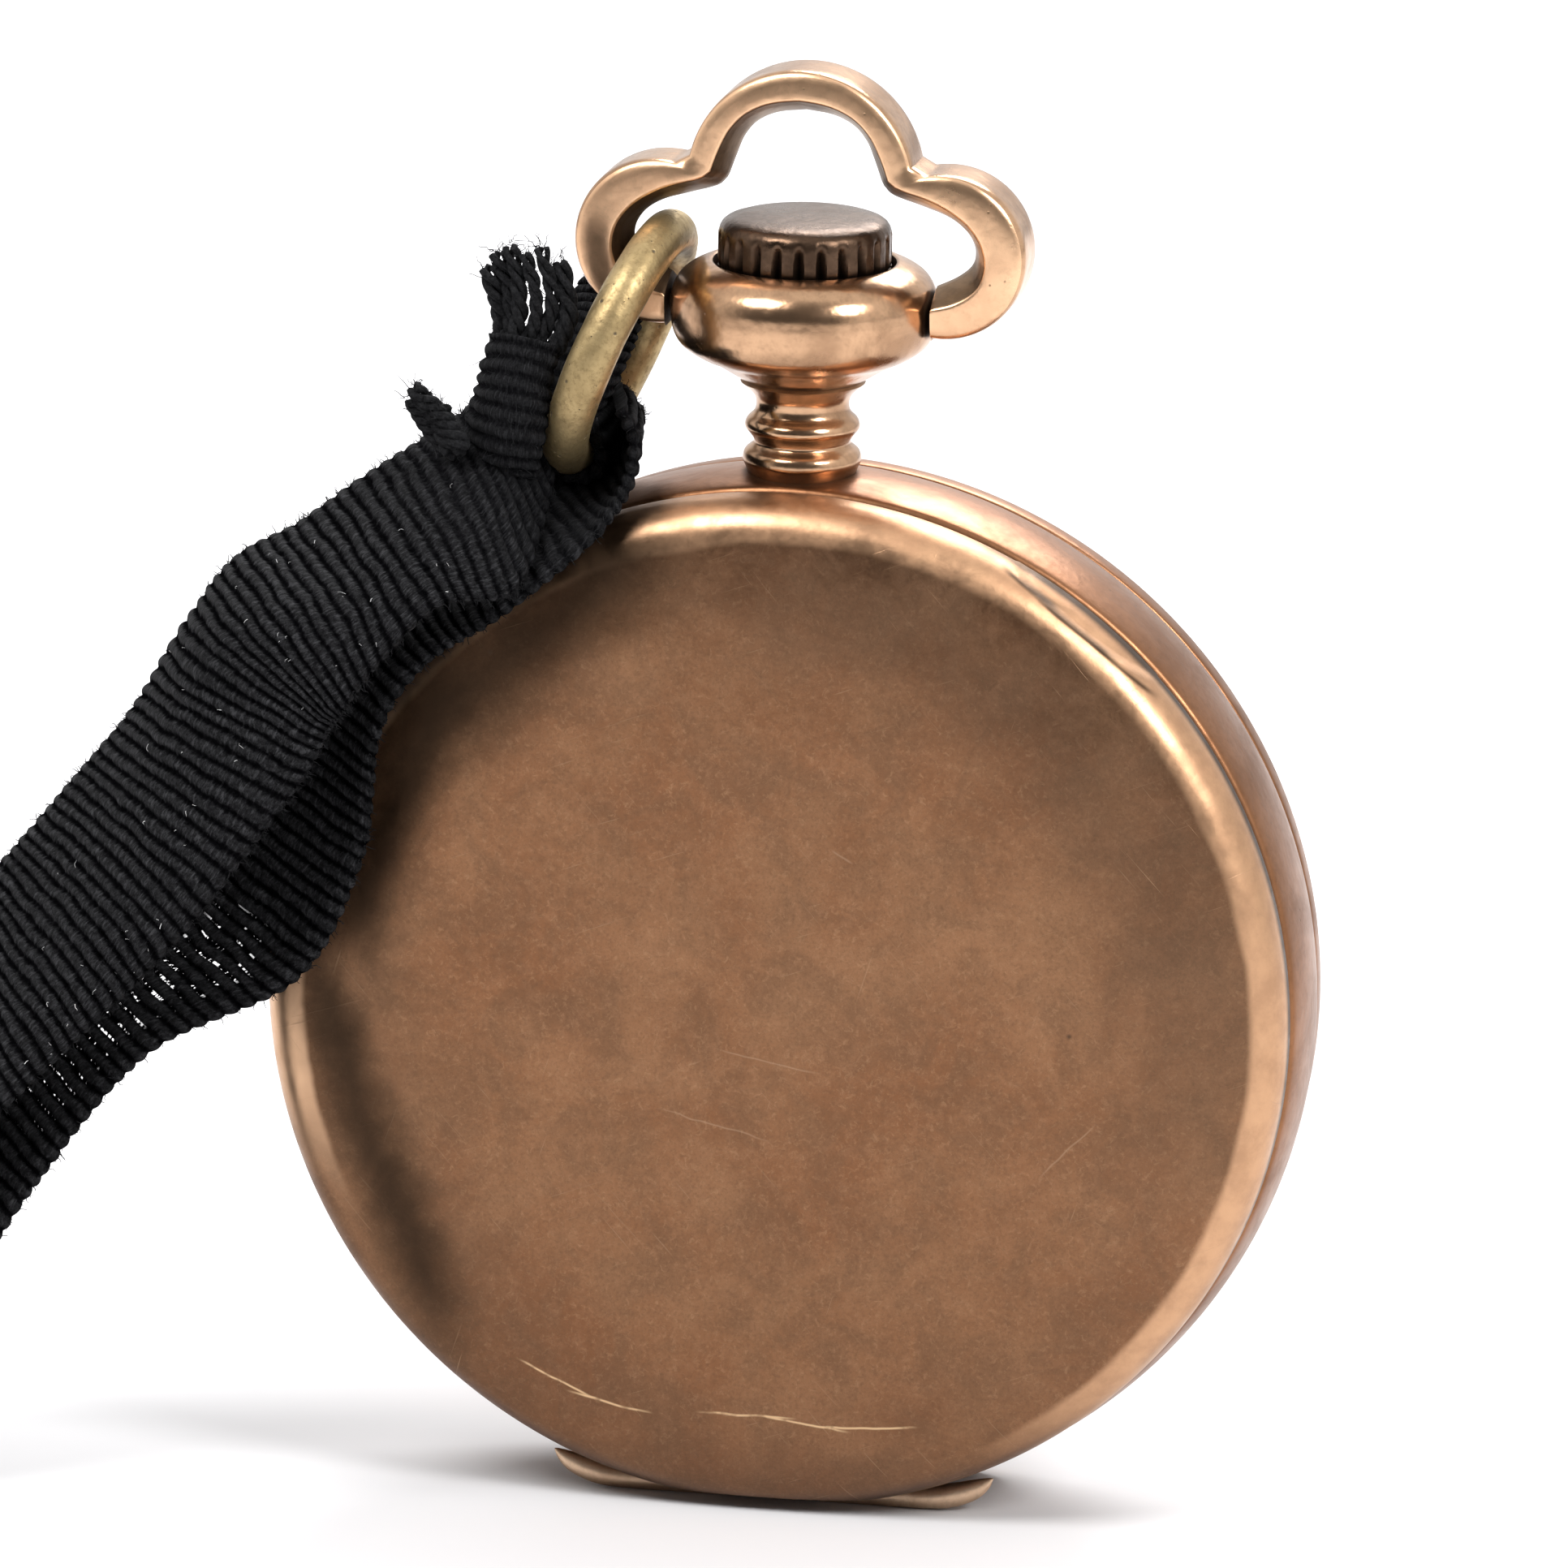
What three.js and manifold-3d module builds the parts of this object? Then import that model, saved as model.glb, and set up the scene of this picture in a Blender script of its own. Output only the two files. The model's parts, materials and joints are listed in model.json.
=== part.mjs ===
// Lady's hunter-case fob watch: case, pendant, bow, jump ring and ribbon, with the full movement inside.
//
// Millimetres, +Z up through the pendant, back cover towards -Y, front cover and dial towards +Y.
// Everything is laid out around the centre of the case; the whole group is then lowered so that
// the origin is the inner top of the bow, the point the watch hangs from.

import * as THREE from 'three';
import { mergeVertices } from 'three/addons/utils/BufferGeometryUtils.js';
import Module from 'manifold-3d';

const wasm = await Module();
wasm.setup();

// ---------------------------------------------------------------- driving dimensions

const CASE = { r: 17.5, seamR: 17.18, halfWidth: 2.3, ledgeR: 14.95, boreR: 15.4, flatZ: -17.22 };
const COVER = { seamGap: 0.06, r: 17.2, wall: 0.4, rise: 2.8, flatR: 5 };
const HINGE = { y: 2.36, z: -16.8, tubeR: 0.42, boreR: 0.21, pinR: 0.16, gap: 0.05 };
const KNUCKLE = { coverHalf: 1.5, startX: 1.6, tubeEndX: 5.3, tipX: 7.45, tipZ: -16.1 };
const CUVETTE = { r: 15.9, rimY: -2.4, topY: -3.55, wall: 0.3, hingeY: -2.76, hingeZ: -15.72, tubeR: 0.26 };
const PENDANT = { baseZ: 17.6, boreR: 0.95, cupR: 3.0, cupZ: 23.3, pivotZ: 22.95 };
const CROWN = { r: 2.87, fluteDepth: 0.2, flutes: 24, baseZ: 24.35, sideTopZ: 25.55, topZ: 26.05 };
const STEM = { r: 0.4, lowZ: 12.0, highZ: 24.95 };
const BOW = { halfDepth: 1.25, endX: 4.46, bevel: 0.45, innerTopZ: 29.56 };
const RING = { midR: 4.0, wireR: 0.78, at: [-6.04, -0.69, 21.52], axis: [0.87, -0.042, -0.352] };
const RIBBON = { thickness: 0.4, stepsPerStop: 3 };

// Levels of the movement, as [low y, high y].
const LEVEL = {
  plate: [0.5, 1.3],
  bridge: [-1.85, -1.35],
  topWheel: [-2.15, -1.9],
  barrel: [-1.05, 0.4],
  centreWheel: [-1.26, -1.12],
  thirdWheel: [0.16, 0.3],
  fourthWheel: [-0.94, -0.8],
  escapeWheel: [-0.54, -0.42],
  fork: [-0.62, -0.36],
  balance: [-1.04, -0.7],
  hairspring: [-1.3, -1.2],
  dial: [1.85, 2.2],
};

// Axes of the train, as [x, z] from the centre of the movement.
const AXIS = {
  centre: [0, 0],
  barrel: [4.81, 3.76],
  third: [-4.4, 2.7],
  fourth: [-7.3, 0],
  escape: [-5.2, -2.95],
  fork: [-3.2, -5.0],
  balance: [1.6, -7.6],
  crownWheel: [0, 8],
  minute: [1.8, 1.8],
};

// Radius of each bridge foot's inner wall and its span in degrees.
const FEET = {
  barrel: { inner: 11.9, from: -8, to: 62 },
  train: { inner: 11.9, from: 128, to: 206 },
  cock: { inner: 11.0, from: 304, to: 328 },
};
const MOVEMENT_R = 14.3;

const BRIDGE_SCREWS = {
  barrel_bridge_screw: [13.1, 30],
  train_bridge_screw_a: [13.1, 136],
  train_bridge_screw_b: [13.1, 198],
  balance_cock_screw: [12.7, 316],
};
const CASE_SCREWS = { case_screw_a: [14.55, 228], case_screw_b: [14.55, 284] };

const FINISH = {
  rose_gold: [0xc08a5e, 0.3, 1.0],
  brown_gold: [0x9a6f49, 0.38, 1.0],
  worn_brass: [0x7d6038, 0.4, 1.0],
  olive_brass: [0x9c8a4a, 0.42, 1.0],
  nickel: [0xc9c6bd, 0.28, 1.0],
  gilt: [0xc9a45a, 0.32, 1.0],
  steel: [0xb4b8bd, 0.25, 1.0],
  blued_steel: [0x23365e, 0.25, 1.0],
  enamel: [0xf2efe6, 0.2, 0.0],
  ruby: [0xa3214a, 0.12, 0.0],
  glass: [0xdfe8ea, 0.05, 0.0],
  grosgrain: [0x17171a, 0.95, 0.0],
};

const materials = {};
for (const [name, [color, roughness, metalness]] of Object.entries(FINISH)) {
  materials[name] = new THREE.MeshStandardMaterial({ name, color, roughness, metalness });
}

// ---------------------------------------------------------------- solid helpers

const toRadians = THREE.MathUtils.degToRad;

function polar(radius, degrees) {
  return [radius * Math.cos(toRadians(degrees)), radius * Math.sin(toRadians(degrees))];
}

function positionOnly(geometry) {
  geometry.deleteAttribute('normal');
  geometry.deleteAttribute('uv');
  return mergeVertices(geometry, 1e-5);
}

function toManifold(geometry) {
  const merged = positionOnly(geometry.clone());
  return new wasm.Manifold(new wasm.Mesh({
    numProp: 3,
    vertProperties: new Float32Array(merged.attributes.position.array),
    triVerts: new Uint32Array(merged.index.array),
  }));
}

function fromManifold(solid) {
  const mesh = solid.getMesh();
  const geometry = new THREE.BufferGeometry();
  geometry.setAttribute('position', new THREE.BufferAttribute(new Float32Array(mesh.vertProperties), 3));
  geometry.setIndex(new THREE.BufferAttribute(new Uint32Array(mesh.triVerts), 1));
  return geometry;
}

function join(first, ...others) {
  return fromManifold(others.reduce((sum, piece) => sum.add(toManifold(piece)), toManifold(first)));
}

function cut(body, ...tools) {
  return fromManifold(tools.reduce((sum, tool) => sum.subtract(toManifold(tool)), toManifold(body)));
}

// Revolves [r, y] points about the Y axis. A profile that leaves the axis is closed on itself.
function revolve(profile, segments) {
  const touchesAxis = profile[0][0] === 0;
  const points = profile.map(([r, y]) => new THREE.Vector2(r, y));
  if (THREE.ShapeUtils.area(points) < 0) points.reverse();
  if (!touchesAxis) points.push(points[0].clone());
  return positionOnly(new THREE.LatheGeometry(points, segments));
}

// Revolves [r, z] points about the Z axis.
function revolveUpright(profile, segments) {
  return revolve(profile.map(([r, z]) => [r, -z]), segments).rotateX(-Math.PI / 2);
}

function shapeOf(points) {
  return new THREE.Shape(points.map(([x, z]) => new THREE.Vector2(x, z)));
}

// Extrudes a flat outline drawn in x and z from yLow to yHigh.
function slab(points, [yLow, yHigh], holes = [], bevel = 0) {
  const shape = Array.isArray(points) ? shapeOf(points) : points;
  for (const hole of holes) {
    shape.holes.push(new THREE.Path(hole.map(([x, z]) => new THREE.Vector2(x, z))));
  }
  const geometry = new THREE.ExtrudeGeometry(shape, {
    depth: yHigh - yLow - 2 * bevel,
    bevelEnabled: bevel > 0,
    bevelThickness: bevel,
    bevelSize: bevel * 0.7,
    bevelOffset: -bevel * 0.7,
    bevelSegments: 1,
    curveSegments: 6,
  });
  return positionOnly(geometry).rotateX(Math.PI / 2).translate(0, yHigh - bevel, 0);
}

function circle(radius, sides, [cx, cz] = [0, 0]) {
  return Array.from({ length: sides }, (_, i) => {
    const [x, z] = polar(radius, (360 * i) / sides);
    return [cx + x, cz + z];
  });
}

function disc(radius, [yLow, yHigh], sides, [x, z] = [0, 0]) {
  return new THREE.CylinderGeometry(radius, radius, yHigh - yLow, sides)
    .translate(x, (yLow + yHigh) / 2, z);
}

function rodX(radius, x0, x1, y, z, sides = 12) {
  return new THREE.CylinderGeometry(radius, radius, x1 - x0, sides)
    .rotateZ(Math.PI / 2)
    .translate((x0 + x1) / 2, y, z);
}

function rodZ(radius, z0, z1, sides = 12) {
  return new THREE.CylinderGeometry(radius, radius, z1 - z0, sides)
    .rotateX(Math.PI / 2)
    .translate(0, 0, (z0 + z1) / 2);
}

function block(x0, x1, y0, y1, z0, z1) {
  return new THREE.BoxGeometry(x1 - x0, y1 - y0, z1 - z0)
    .translate((x0 + x1) / 2, (y0 + y1) / 2, (z0 + z1) / 2);
}

function arcPoints(radius, from, to, steps, [cx, cz] = [0, 0]) {
  return Array.from({ length: steps + 1 }, (_, i) => {
    const [x, z] = polar(radius, from + ((to - from) * i) / steps);
    return [cx + x, cz + z];
  });
}

function sector(inner, outer, from, to, steps) {
  return [...arcPoints(outer, from, to, steps), ...arcPoints(inner, to, from, steps)];
}

// Joins rings of points, each in the same order, into one closed body.
function loft(rings) {
  const sides = rings[0].length;
  const positions = rings.flat(2);
  const index = [];
  for (let i = 0; i + 1 < rings.length; i += 1) {
    for (let j = 0; j < sides; j += 1) {
      const a = i * sides + j;
      const b = i * sides + ((j + 1) % sides);
      index.push(a, b, a + sides, b, b + sides, a + sides);
    }
  }
  const last = (rings.length - 1) * sides;
  for (let j = 1; j + 1 < sides; j += 1) {
    index.push(0, j + 1, j);
    index.push(last, last + j, last + j + 1);
  }
  const geometry = new THREE.BufferGeometry();
  geometry.setAttribute('position', new THREE.BufferAttribute(new Float32Array(positions), 3));
  geometry.setIndex(index);
  return geometry;
}

// A toothed outline with one point at each tip and one at each root.
function toothed(tipR, rootR, teeth) {
  return Array.from({ length: teeth * 2 }, (_, i) => polar(i % 2 ? rootR : tipR, (180 * i) / teeth));
}

// The openings between a wheel's arms, which keep the same width from hub to rim.
function spokeHoles(innerR, outerR, arms, armWidth) {
  const step = 360 / arms;
  const halfAngle = (radius) => THREE.MathUtils.radToDeg(Math.asin(armWidth / 2 / radius));
  return Array.from({ length: arms }, (_, i) => [
    ...arcPoints(outerR, (i + 1) * step - halfAngle(outerR), i * step + halfAngle(outerR), 2),
    ...arcPoints(innerR, i * step + halfAngle(innerR), (i + 1) * step - halfAngle(innerR), 1),
  ]);
}

// ---------------------------------------------------------------- model tree

const watch = new THREE.Group();
const casework = new THREE.Group();
casework.position.z = -BOW.innerTopZ;
watch.add(casework);

function place(name, geometry, finish, [x, z] = [0, 0], parent = casework) {
  const mesh = new THREE.Mesh(geometry, materials[finish].clone());
  mesh.name = name;
  mesh.position.set(x, 0, z);
  parent.add(mesh);
  return mesh;
}

// ---------------------------------------------------------------- case band and hinges

function hingeClearance(side, x0, x1) {
  return rodX(HINGE.tubeR + HINGE.gap, x0, x1, side * HINGE.y, HINGE.z);
}

function caseBand() {
  const { r, seamR, halfWidth, ledgeR, boreR, flatZ } = CASE;
  const ring = revolve([
    [seamR, -halfWidth], [17.42, -1.3], [r, 0], [17.42, 1.3], [seamR, halfWidth],
    [boreR, halfWidth], [boreR, 0.95], [ledgeR, 0.95], [ledgeR, -1.0], [boreR, -1.0], [boreR, -halfWidth],
  ], 36);
  return cut(
    ring,
    hingeClearance(-1, -7.7, 7.7),
    hingeClearance(1, -7.7, 7.7),
    rodZ(0.9, 14, 18.5),
    block(-6, 6, -4, 4, flatZ - 1, flatZ),
  );
}

// One soldered hinge tube with the pointed fin that runs out past the round of the case.
function hingeTube(side, hand) {
  const { startX, tubeEndX, tipX, tipZ } = KNUCKLE;
  const y = side * HINGE.y;
  const tube = rodX(HINGE.tubeR, startX, tubeEndX, y, HINGE.z);
  const bottom = HINGE.z - HINGE.tubeR + 0.06;
  const fin = slab([
    [4.7, bottom], [5.8, bottom], [6.7, bottom + 0.25], [7.2, bottom + 0.6], [tipX, tipZ],
    [7.0, -16.12], [6.1, -16.36], [5.4, -16.52], [4.7, -16.6],
  ], [y - 0.2, y + 0.2]);
  const bar = cut(join(tube, fin), rodX(HINGE.boreR, 1, tubeEndX - 0.4, y, HINGE.z, 8));
  return hand > 0 ? bar : mirrorX(bar);
}

function mirrorX(geometry) {
  const mirrored = geometry.clone().scale(-1, 1, 1);
  const index = mirrored.index.array;
  for (let i = 0; i < index.length; i += 3) {
    [index[i], index[i + 1]] = [index[i + 1], index[i]];
  }
  return mirrored;
}

function hingePin(side) {
  const end = KNUCKLE.tubeEndX - 0.5;
  return rodX(HINGE.pinR, -end, end, side * HINGE.y, HINGE.z, 8);
}

place('case_band', caseBand(), 'rose_gold');
for (const [name, side] of [['back', -1], ['front', 1]]) {
  place(`${name}_hinge_tube_left`, hingeTube(side, -1), 'worn_brass');
  place(`${name}_hinge_tube_right`, hingeTube(side, 1), 'worn_brass');
  place(`${name}_hinge_pin`, hingePin(side), 'steel');
}

// ---------------------------------------------------------------- covers

// A domed cover with a rolled edge, a flat centre and a knuckle that turns on the hinge pin.
function cover(side) {
  const seam = CASE.halfWidth + COVER.seamGap;
  const top = CASE.halfWidth + COVER.rise;
  const wall = COVER.wall;
  const profile = [
    [0, top - wall], [12.0, top - 0.6], [14.7, top - 1.05], [16.1, top - 1.8], [16.6, seam],
    [COVER.r, seam], [17.05, top - 2.1], [16.5, top - 1.25], [15.3, top - 0.56], [12.6, top - 0.16],
    [COVER.flatR, top], [0, top],
  ].map(([r, y]) => [r, side * y]);
  const { coverHalf } = KNUCKLE;
  const y = side * HINGE.y;
  const shell = cut(
    revolve(profile, 32),
    block(-6, 6, -6, 6, HINGE.z - 3, HINGE.z + 0.05),
    hingeClearance(side, coverHalf + HINGE.gap, 7.7),
    hingeClearance(side, -7.7, -coverHalf - HINGE.gap),
  );
  const knuckle = rodX(HINGE.tubeR, -coverHalf, coverHalf, y, HINGE.z);
  return cut(join(shell, knuckle), rodX(HINGE.boreR, -2, 2, y, HINGE.z, 8));
}

place('back_cover', cover(-1), 'brown_gold');
place('front_cover', cover(1), 'rose_gold');

// Inner dust cover over the movement, on a small hinge of its own inside the back cover.
function cuvette() {
  const { r, rimY, topY, wall, hingeY, hingeZ, tubeR } = CUVETTE;
  const shell = revolve([
    [0, topY + wall], [14.4, topY + wall + 0.06], [15.3, -3.0], [15.55, rimY],
    [r, rimY], [r, -2.95], [15.5, -3.35], [14.5, topY + 0.05], [0, topY],
  ], 24);
  const trimmed = cut(
    shell,
    block(-4, 4, -4, -2, hingeZ - 2, hingeZ + 0.03),
  );
  const knuckle = rodX(tubeR, -2.4, 2.4, hingeY, hingeZ, 10);
  return cut(join(trimmed, knuckle), rodX(0.15, -5, 5, hingeY, hingeZ, 8));
}

place('cuvette', cuvette(), 'gilt');
place('cuvette_hinge_pin', rodX(0.11, -3.4, 3.4, CUVETTE.hingeY, CUVETTE.hingeZ, 6), 'steel');

// ---------------------------------------------------------------- bezel, crystal and dial

place('bezel', revolve([
  [14.25, 2.36], [16.3, 2.36], [16.3, 2.75], [15.7, 3.25], [14.6, 3.48], [13.5, 3.4], [13.5, 2.78],
  [14.25, 2.78],
], 24), 'rose_gold');
place('crystal', revolve([
  [0, 3.5], [7, 3.38], [13.4, 2.85], [13.4, 3.2], [7, 3.78], [0, 3.9],
], 20), 'glass');
place('dial', slab(circle(14.1, 24), LEVEL.dial, [
  circle(0.9, 12).reverse(),
  circle(0.25, 8, AXIS.fourth).reverse(),
]), 'enamel');

// ---------------------------------------------------------------- plates and bridges

function drill([x, z], radius, [yLow, yHigh], sides = 8) {
  return disc(radius, [yLow, yHigh], sides, [x, z]);
}

function pillarPlate() {
  const [low, high] = LEVEL.plate;
  const blank = revolve([[0, low], [14.85, low], [14.85, 1.0], [15.25, 1.0], [15.25, high], [0, high]], 30);
  const through = [low - 1, high + 1];
  const screwHoles = [...Object.values(BRIDGE_SCREWS), ...Object.values(CASE_SCREWS)];
  return cut(
    blank,
    block(-1.9, 1.9, low - 1, high + 1, 9.7, 16),
    drill(AXIS.centre, 0.32, through),
    drill(AXIS.fourth, 0.16, through),
    ...[AXIS.third, AXIS.escape, AXIS.fork, AXIS.balance].map((at) => drill(at, 0.15, through, 6)),
    drill(AXIS.barrel, 0.45, through),
    drill(AXIS.minute, 0.2, through),
    ...screwHoles.map(([r, degrees]) => drill(polar(r, degrees), 0.42, through)),
  );
}

// A bridge plate with the foot that carries it off the pillar plate.
function bridge(outline, foot, holes) {
  const [low, high] = LEVEL.bridge;
  const plate = slab(outline, [low, high]);
  const leg = slab(sector(foot.inner, MOVEMENT_R - 0.05, foot.from, foot.to, 6), [high - 0.2, 0.48]);
  const tools = holes.map(([at, radius]) => drill(at, radius, [low - 1, 1]));
  return cut(join(plate, leg), ...tools);
}

const screwAt = (name) => [polar(...BRIDGE_SCREWS[name]), 0.4];
const JEWEL_SEAT_R = 0.5;

const barrelBridge = bridge([
  ...arcPoints(MOVEMENT_R, -14, 82, 14), [1.95, 10.1], [-2.2, 10.1], [-2.9, 8.9], [-2.9, 6.4],
  [-1.35, 3.9], [-1.35, -1.2], [1.1, -2.0], [6.4, -2.5],
], FEET.barrel, [
  [AXIS.centre, 0.15], [AXIS.barrel, 1.0], [AXIS.crownWheel, 0.4],
  screwAt('barrel_bridge_screw'), [[9.9, 1.0], 0.25],
]);
const trainBridge = bridge([
  ...arcPoints(MOVEMENT_R, 98.2, 212, 14), [-6.9, -5.2], [-4.2, -4.2], [-3.2, -2.4], [-1.8, -1.5],
  [-1.8, 4.0], [-3.35, 6.5], [-3.35, 9.2], [-2.1, 10.8],
], FEET.train, [
  [AXIS.third, JEWEL_SEAT_R], [AXIS.fourth, JEWEL_SEAT_R], [AXIS.escape, JEWEL_SEAT_R],
  screwAt('train_bridge_screw_a'), screwAt('train_bridge_screw_b'),
]);
const balanceCock = bridge([
  ...arcPoints(MOVEMENT_R, 302, 330, 5), [9.6, -6.4], [3.2, -6.5],
  ...arcPoints(1.35, 50, 300, 8, AXIS.balance), [6.6, -10.4],
], FEET.cock, [
  [AXIS.balance, JEWEL_SEAT_R], screwAt('balance_cock_screw'),
]);
place('pillar_plate', pillarPlate(), 'nickel');
place('barrel_bridge', barrelBridge, 'nickel');
place('train_bridge', trainBridge, 'nickel');
place('balance_cock', balanceCock, 'nickel');

for (const name of ['third', 'fourth', 'escape', 'balance']) {
  const ring = slab(circle(0.46, 10), [-1.9, -1.45], [circle(0.14, 8).reverse()]);
  place(`${name}_jewel`, ring, 'ruby', AXIS[name]);
}

// ---------------------------------------------------------------- screws

// A slotted cheese-head screw whose head points towards the back cover.
function screw(headR, [headLow, headHigh], shankR, shankEnd) {
  const head = disc(headR, [headLow, headHigh], 10);
  const shank = disc(shankR, [headHigh - 0.02, shankEnd], 6);
  const slot = block(-headR * 2, headR * 2, headLow - 1, headLow + 0.09, -0.08, 0.08);
  return cut(join(head, shank), slot);
}

for (const [name, [r, degrees]] of Object.entries(BRIDGE_SCREWS)) {
  place(name, screw(0.7, [-2.08, -1.88], 0.33, 0.9), 'blued_steel', polar(r, degrees));
}
for (const [name, [r, degrees]] of Object.entries(CASE_SCREWS)) {
  place(name, screw(0.62, [-1.24, -1.03], 0.33, 0.9), 'steel', polar(r, degrees));
}

// ---------------------------------------------------------------- winding work

place('pendant_sleeve', revolveUpright([[0.52, 17.7], [0.85, 17.7], [0.85, 22.9], [0.52, 22.9]], 12), 'steel');
place('winding_stem', rodZ(STEM.r, STEM.lowZ, STEM.highZ, 8), 'steel');
place('winding_pinion', (() => {
  const teeth = slab(toothed(1.74, 1.45, 16), [-11.4, -10.4]).rotateX(-Math.PI / 2);
  return cut(join(rodZ(0.74, 9.9, 13.6, 10), teeth), rodZ(0.46, 11.4, 14.5, 8));
})(), 'steel');

const topHole = (radius) => [circle(radius, 10).reverse()];
place('ratchet_wheel', slab(toothed(3.05, 2.78, 30), LEVEL.topWheel, topHole(0.5)), 'steel', AXIS.barrel);
place('ratchet_screw', screw(1.0, [-2.38, -2.18], 0.42, -1.6), 'blued_steel', AXIS.barrel);
place('crown_wheel', slab(toothed(3.26, 2.98, 32), LEVEL.topWheel, topHole(0.42)), 'steel', AXIS.crownWheel);
place('crown_wheel_screw', screw(0.85, [-2.38, -2.18], 0.33, -1.4), 'blued_steel', AXIS.crownWheel);
place('click', slab([
  [7.95, 2.72], [8.9, 2.1], [9.3, 0.6], [9.9, 0.35], [10.5, 0.7], [10.5, 1.4], [9.9, 1.7], [9.3, 2.5],
], LEVEL.topWheel, [circle(0.2, 6, [9.9, 1.0]).reverse()]), 'steel');

// ---------------------------------------------------------------- mainspring barrel

place('barrel_drum', (() => {
  const [low, high] = LEVEL.barrel;
  const teeth = slab(toothed(5.2, 4.95, 72), [high - 0.22, high]);
  const drum = disc(4.8, [low, high - 0.1], 18);
  return cut(join(teeth, drum), disc(4.5, [low - 1, high - 0.22], 18), disc(0.5, [low, high + 1], 8));
})(), 'gilt', AXIS.barrel);
place('barrel_arbor', (() => {
  const core = join(disc(0.9, [-1.85, 0.1], 10), disc(0.4, [0, 0.9], 8));
  return cut(core, disc(0.46, [-3, -1.5], 8));
})(), 'steel', AXIS.barrel);
place('mainspring', (() => {
  const coils = 4;
  const steps = 9 * coils;
  const rings = Array.from({ length: steps + 1 }, (_, i) => {
    const radius = 1.7 + (2.5 * i) / steps;
    const [x, z] = polar(1, (360 * coils * i) / steps);
    const corner = (offset, y) => [(radius + offset) * x, y, (radius + offset) * z];
    return [corner(-0.07, -0.85), corner(0.07, -0.85), corner(0.07, 0.1), corner(-0.07, 0.1)];
  });
  return loft(rings);
})(), 'blued_steel', AXIS.barrel);

// ---------------------------------------------------------------- going train

// A crossed-out wheel, its pinion and the arbor that carries both.
function trainWheel({ level, tip, root, teeth, rim, arms, pinion, arbor }) {
  const wheel = slab(toothed(tip, root, teeth), level, spokeHoles(1.0, root - rim, arms, 0.35));
  const [leafTip, leafRoot, leaves, leafLevel] = pinion;
  const leafWork = slab(toothed(leafTip, leafRoot, leaves), leafLevel);
  const shafts = arbor.map(([radius, span]) => disc(radius, span, 8));
  return join(wheel, leafWork, ...shafts);
}

place('centre_wheel', trainWheel({
  level: LEVEL.centreWheel, tip: 4.52, root: 4.3, teeth: 64, rim: 0.45, arms: 5,
  pinion: [0.82, 0.6, 10, [-1.0, 0.1]],
  arbor: [[0.45, [-1.3, 0.45]], [0.11, [-1.8, -1.2]], [0.2, [0.4, 2.76]]],
}), 'gilt');
place('third_wheel', trainWheel({
  level: LEVEL.thirdWheel, tip: 3.42, root: 3.2, teeth: 60, rim: 0.4, arms: 5,
  pinion: [0.56, 0.4, 8, [-1.28, 0.08]],
  arbor: [[0.3, [-1.3, 0.42]], [0.1, [-1.8, -1.2]], [0.1, [0.4, 0.9]]],
}), 'gilt', AXIS.third);
place('fourth_wheel', trainWheel({
  level: LEVEL.fourthWheel, tip: 3.14, root: 2.94, teeth: 63, rim: 0.36, arms: 5,
  pinion: [0.44, 0.32, 8, [-0.7, 0.34]],
  arbor: [[0.22, [-1.3, 0.45]], [0.1, [-1.8, -1.2]], [0.11, [0.4, 2.36]]],
}), 'gilt', AXIS.fourth);
place('escape_wheel', trainWheel({
  level: LEVEL.escapeWheel, tip: 2.0, root: 1.66, teeth: 15, rim: 0.3, arms: 4,
  pinion: [0.38, 0.28, 7, [-1.05, -0.62]],
  arbor: [[0.2, [-1.3, 0.42]], [0.1, [-1.8, -1.2]], [0.1, [0.4, 0.9]]],
}), 'steel', AXIS.escape);

// The lever lies along the line from its pivot to the balance; its two arms straddle the escape wheel.
place('pallet_fork', (() => {
  const body = slab([
    [-0.95, 2.35], [-0.5, 1.4], [-0.35, 0.5], [-0.35, -0.15], [-0.9, -0.9], [-1.6, -1.35], [-1.35, -1.6],
    [-0.3, -0.75], [0.3, -0.4], [3.3, -0.3], [3.9, -0.55], [3.9, -0.28], [3.5, -0.12], [3.5, 0.12],
    [3.9, 0.28], [3.9, 0.55], [3.3, 0.3], [0.3, 0.4], [-0.05, 1.4], [-0.6, 2.45],
  ], LEVEL.fork);
  const staff = join(disc(0.2, [-1.3, 0.42], 6), disc(0.1, [0.4, 0.9], 6));
  const [dx, dz] = [AXIS.balance[0] - AXIS.fork[0], AXIS.balance[1] - AXIS.fork[1]];
  return join(body, staff).rotateY(-Math.atan2(dz, dx));
})(), 'steel', AXIS.fork);

// ---------------------------------------------------------------- balance

place('balance_wheel', (() => {
  const [low, high] = LEVEL.balance;
  const rim = slab(circle(4.3, 24), [low, high], [circle(3.8, 24).reverse()]);
  const arm = block(-4.0, 4.0, low + 0.06, high - 0.1, -0.3, 0.3);
  const staff = disc(0.22, [-1.18, -0.3], 8);
  const pivots = disc(0.09, [-1.8, 0.9], 8);
  const roller = disc(1.0, [-0.66, -0.56], 12);
  return join(rim, arm, staff, pivots, roller);
})(), 'gilt', AXIS.balance);
place('hairspring', (() => {
  const coils = 4;
  const steps = 9 * coils;
  const [low, high] = LEVEL.hairspring;
  const rings = Array.from({ length: steps + 1 }, (_, i) => {
    const radius = 0.5 + (1.7 * i) / steps;
    const [x, z] = polar(1, (360 * coils * i) / steps);
    const corner = (offset, y) => [(radius + offset) * x, y, (radius + offset) * z];
    return [corner(-0.04, low), corner(0.04, low), corner(0.04, high), corner(-0.04, high)];
  });
  return loft(rings);
})(), 'blued_steel', AXIS.balance);
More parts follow.
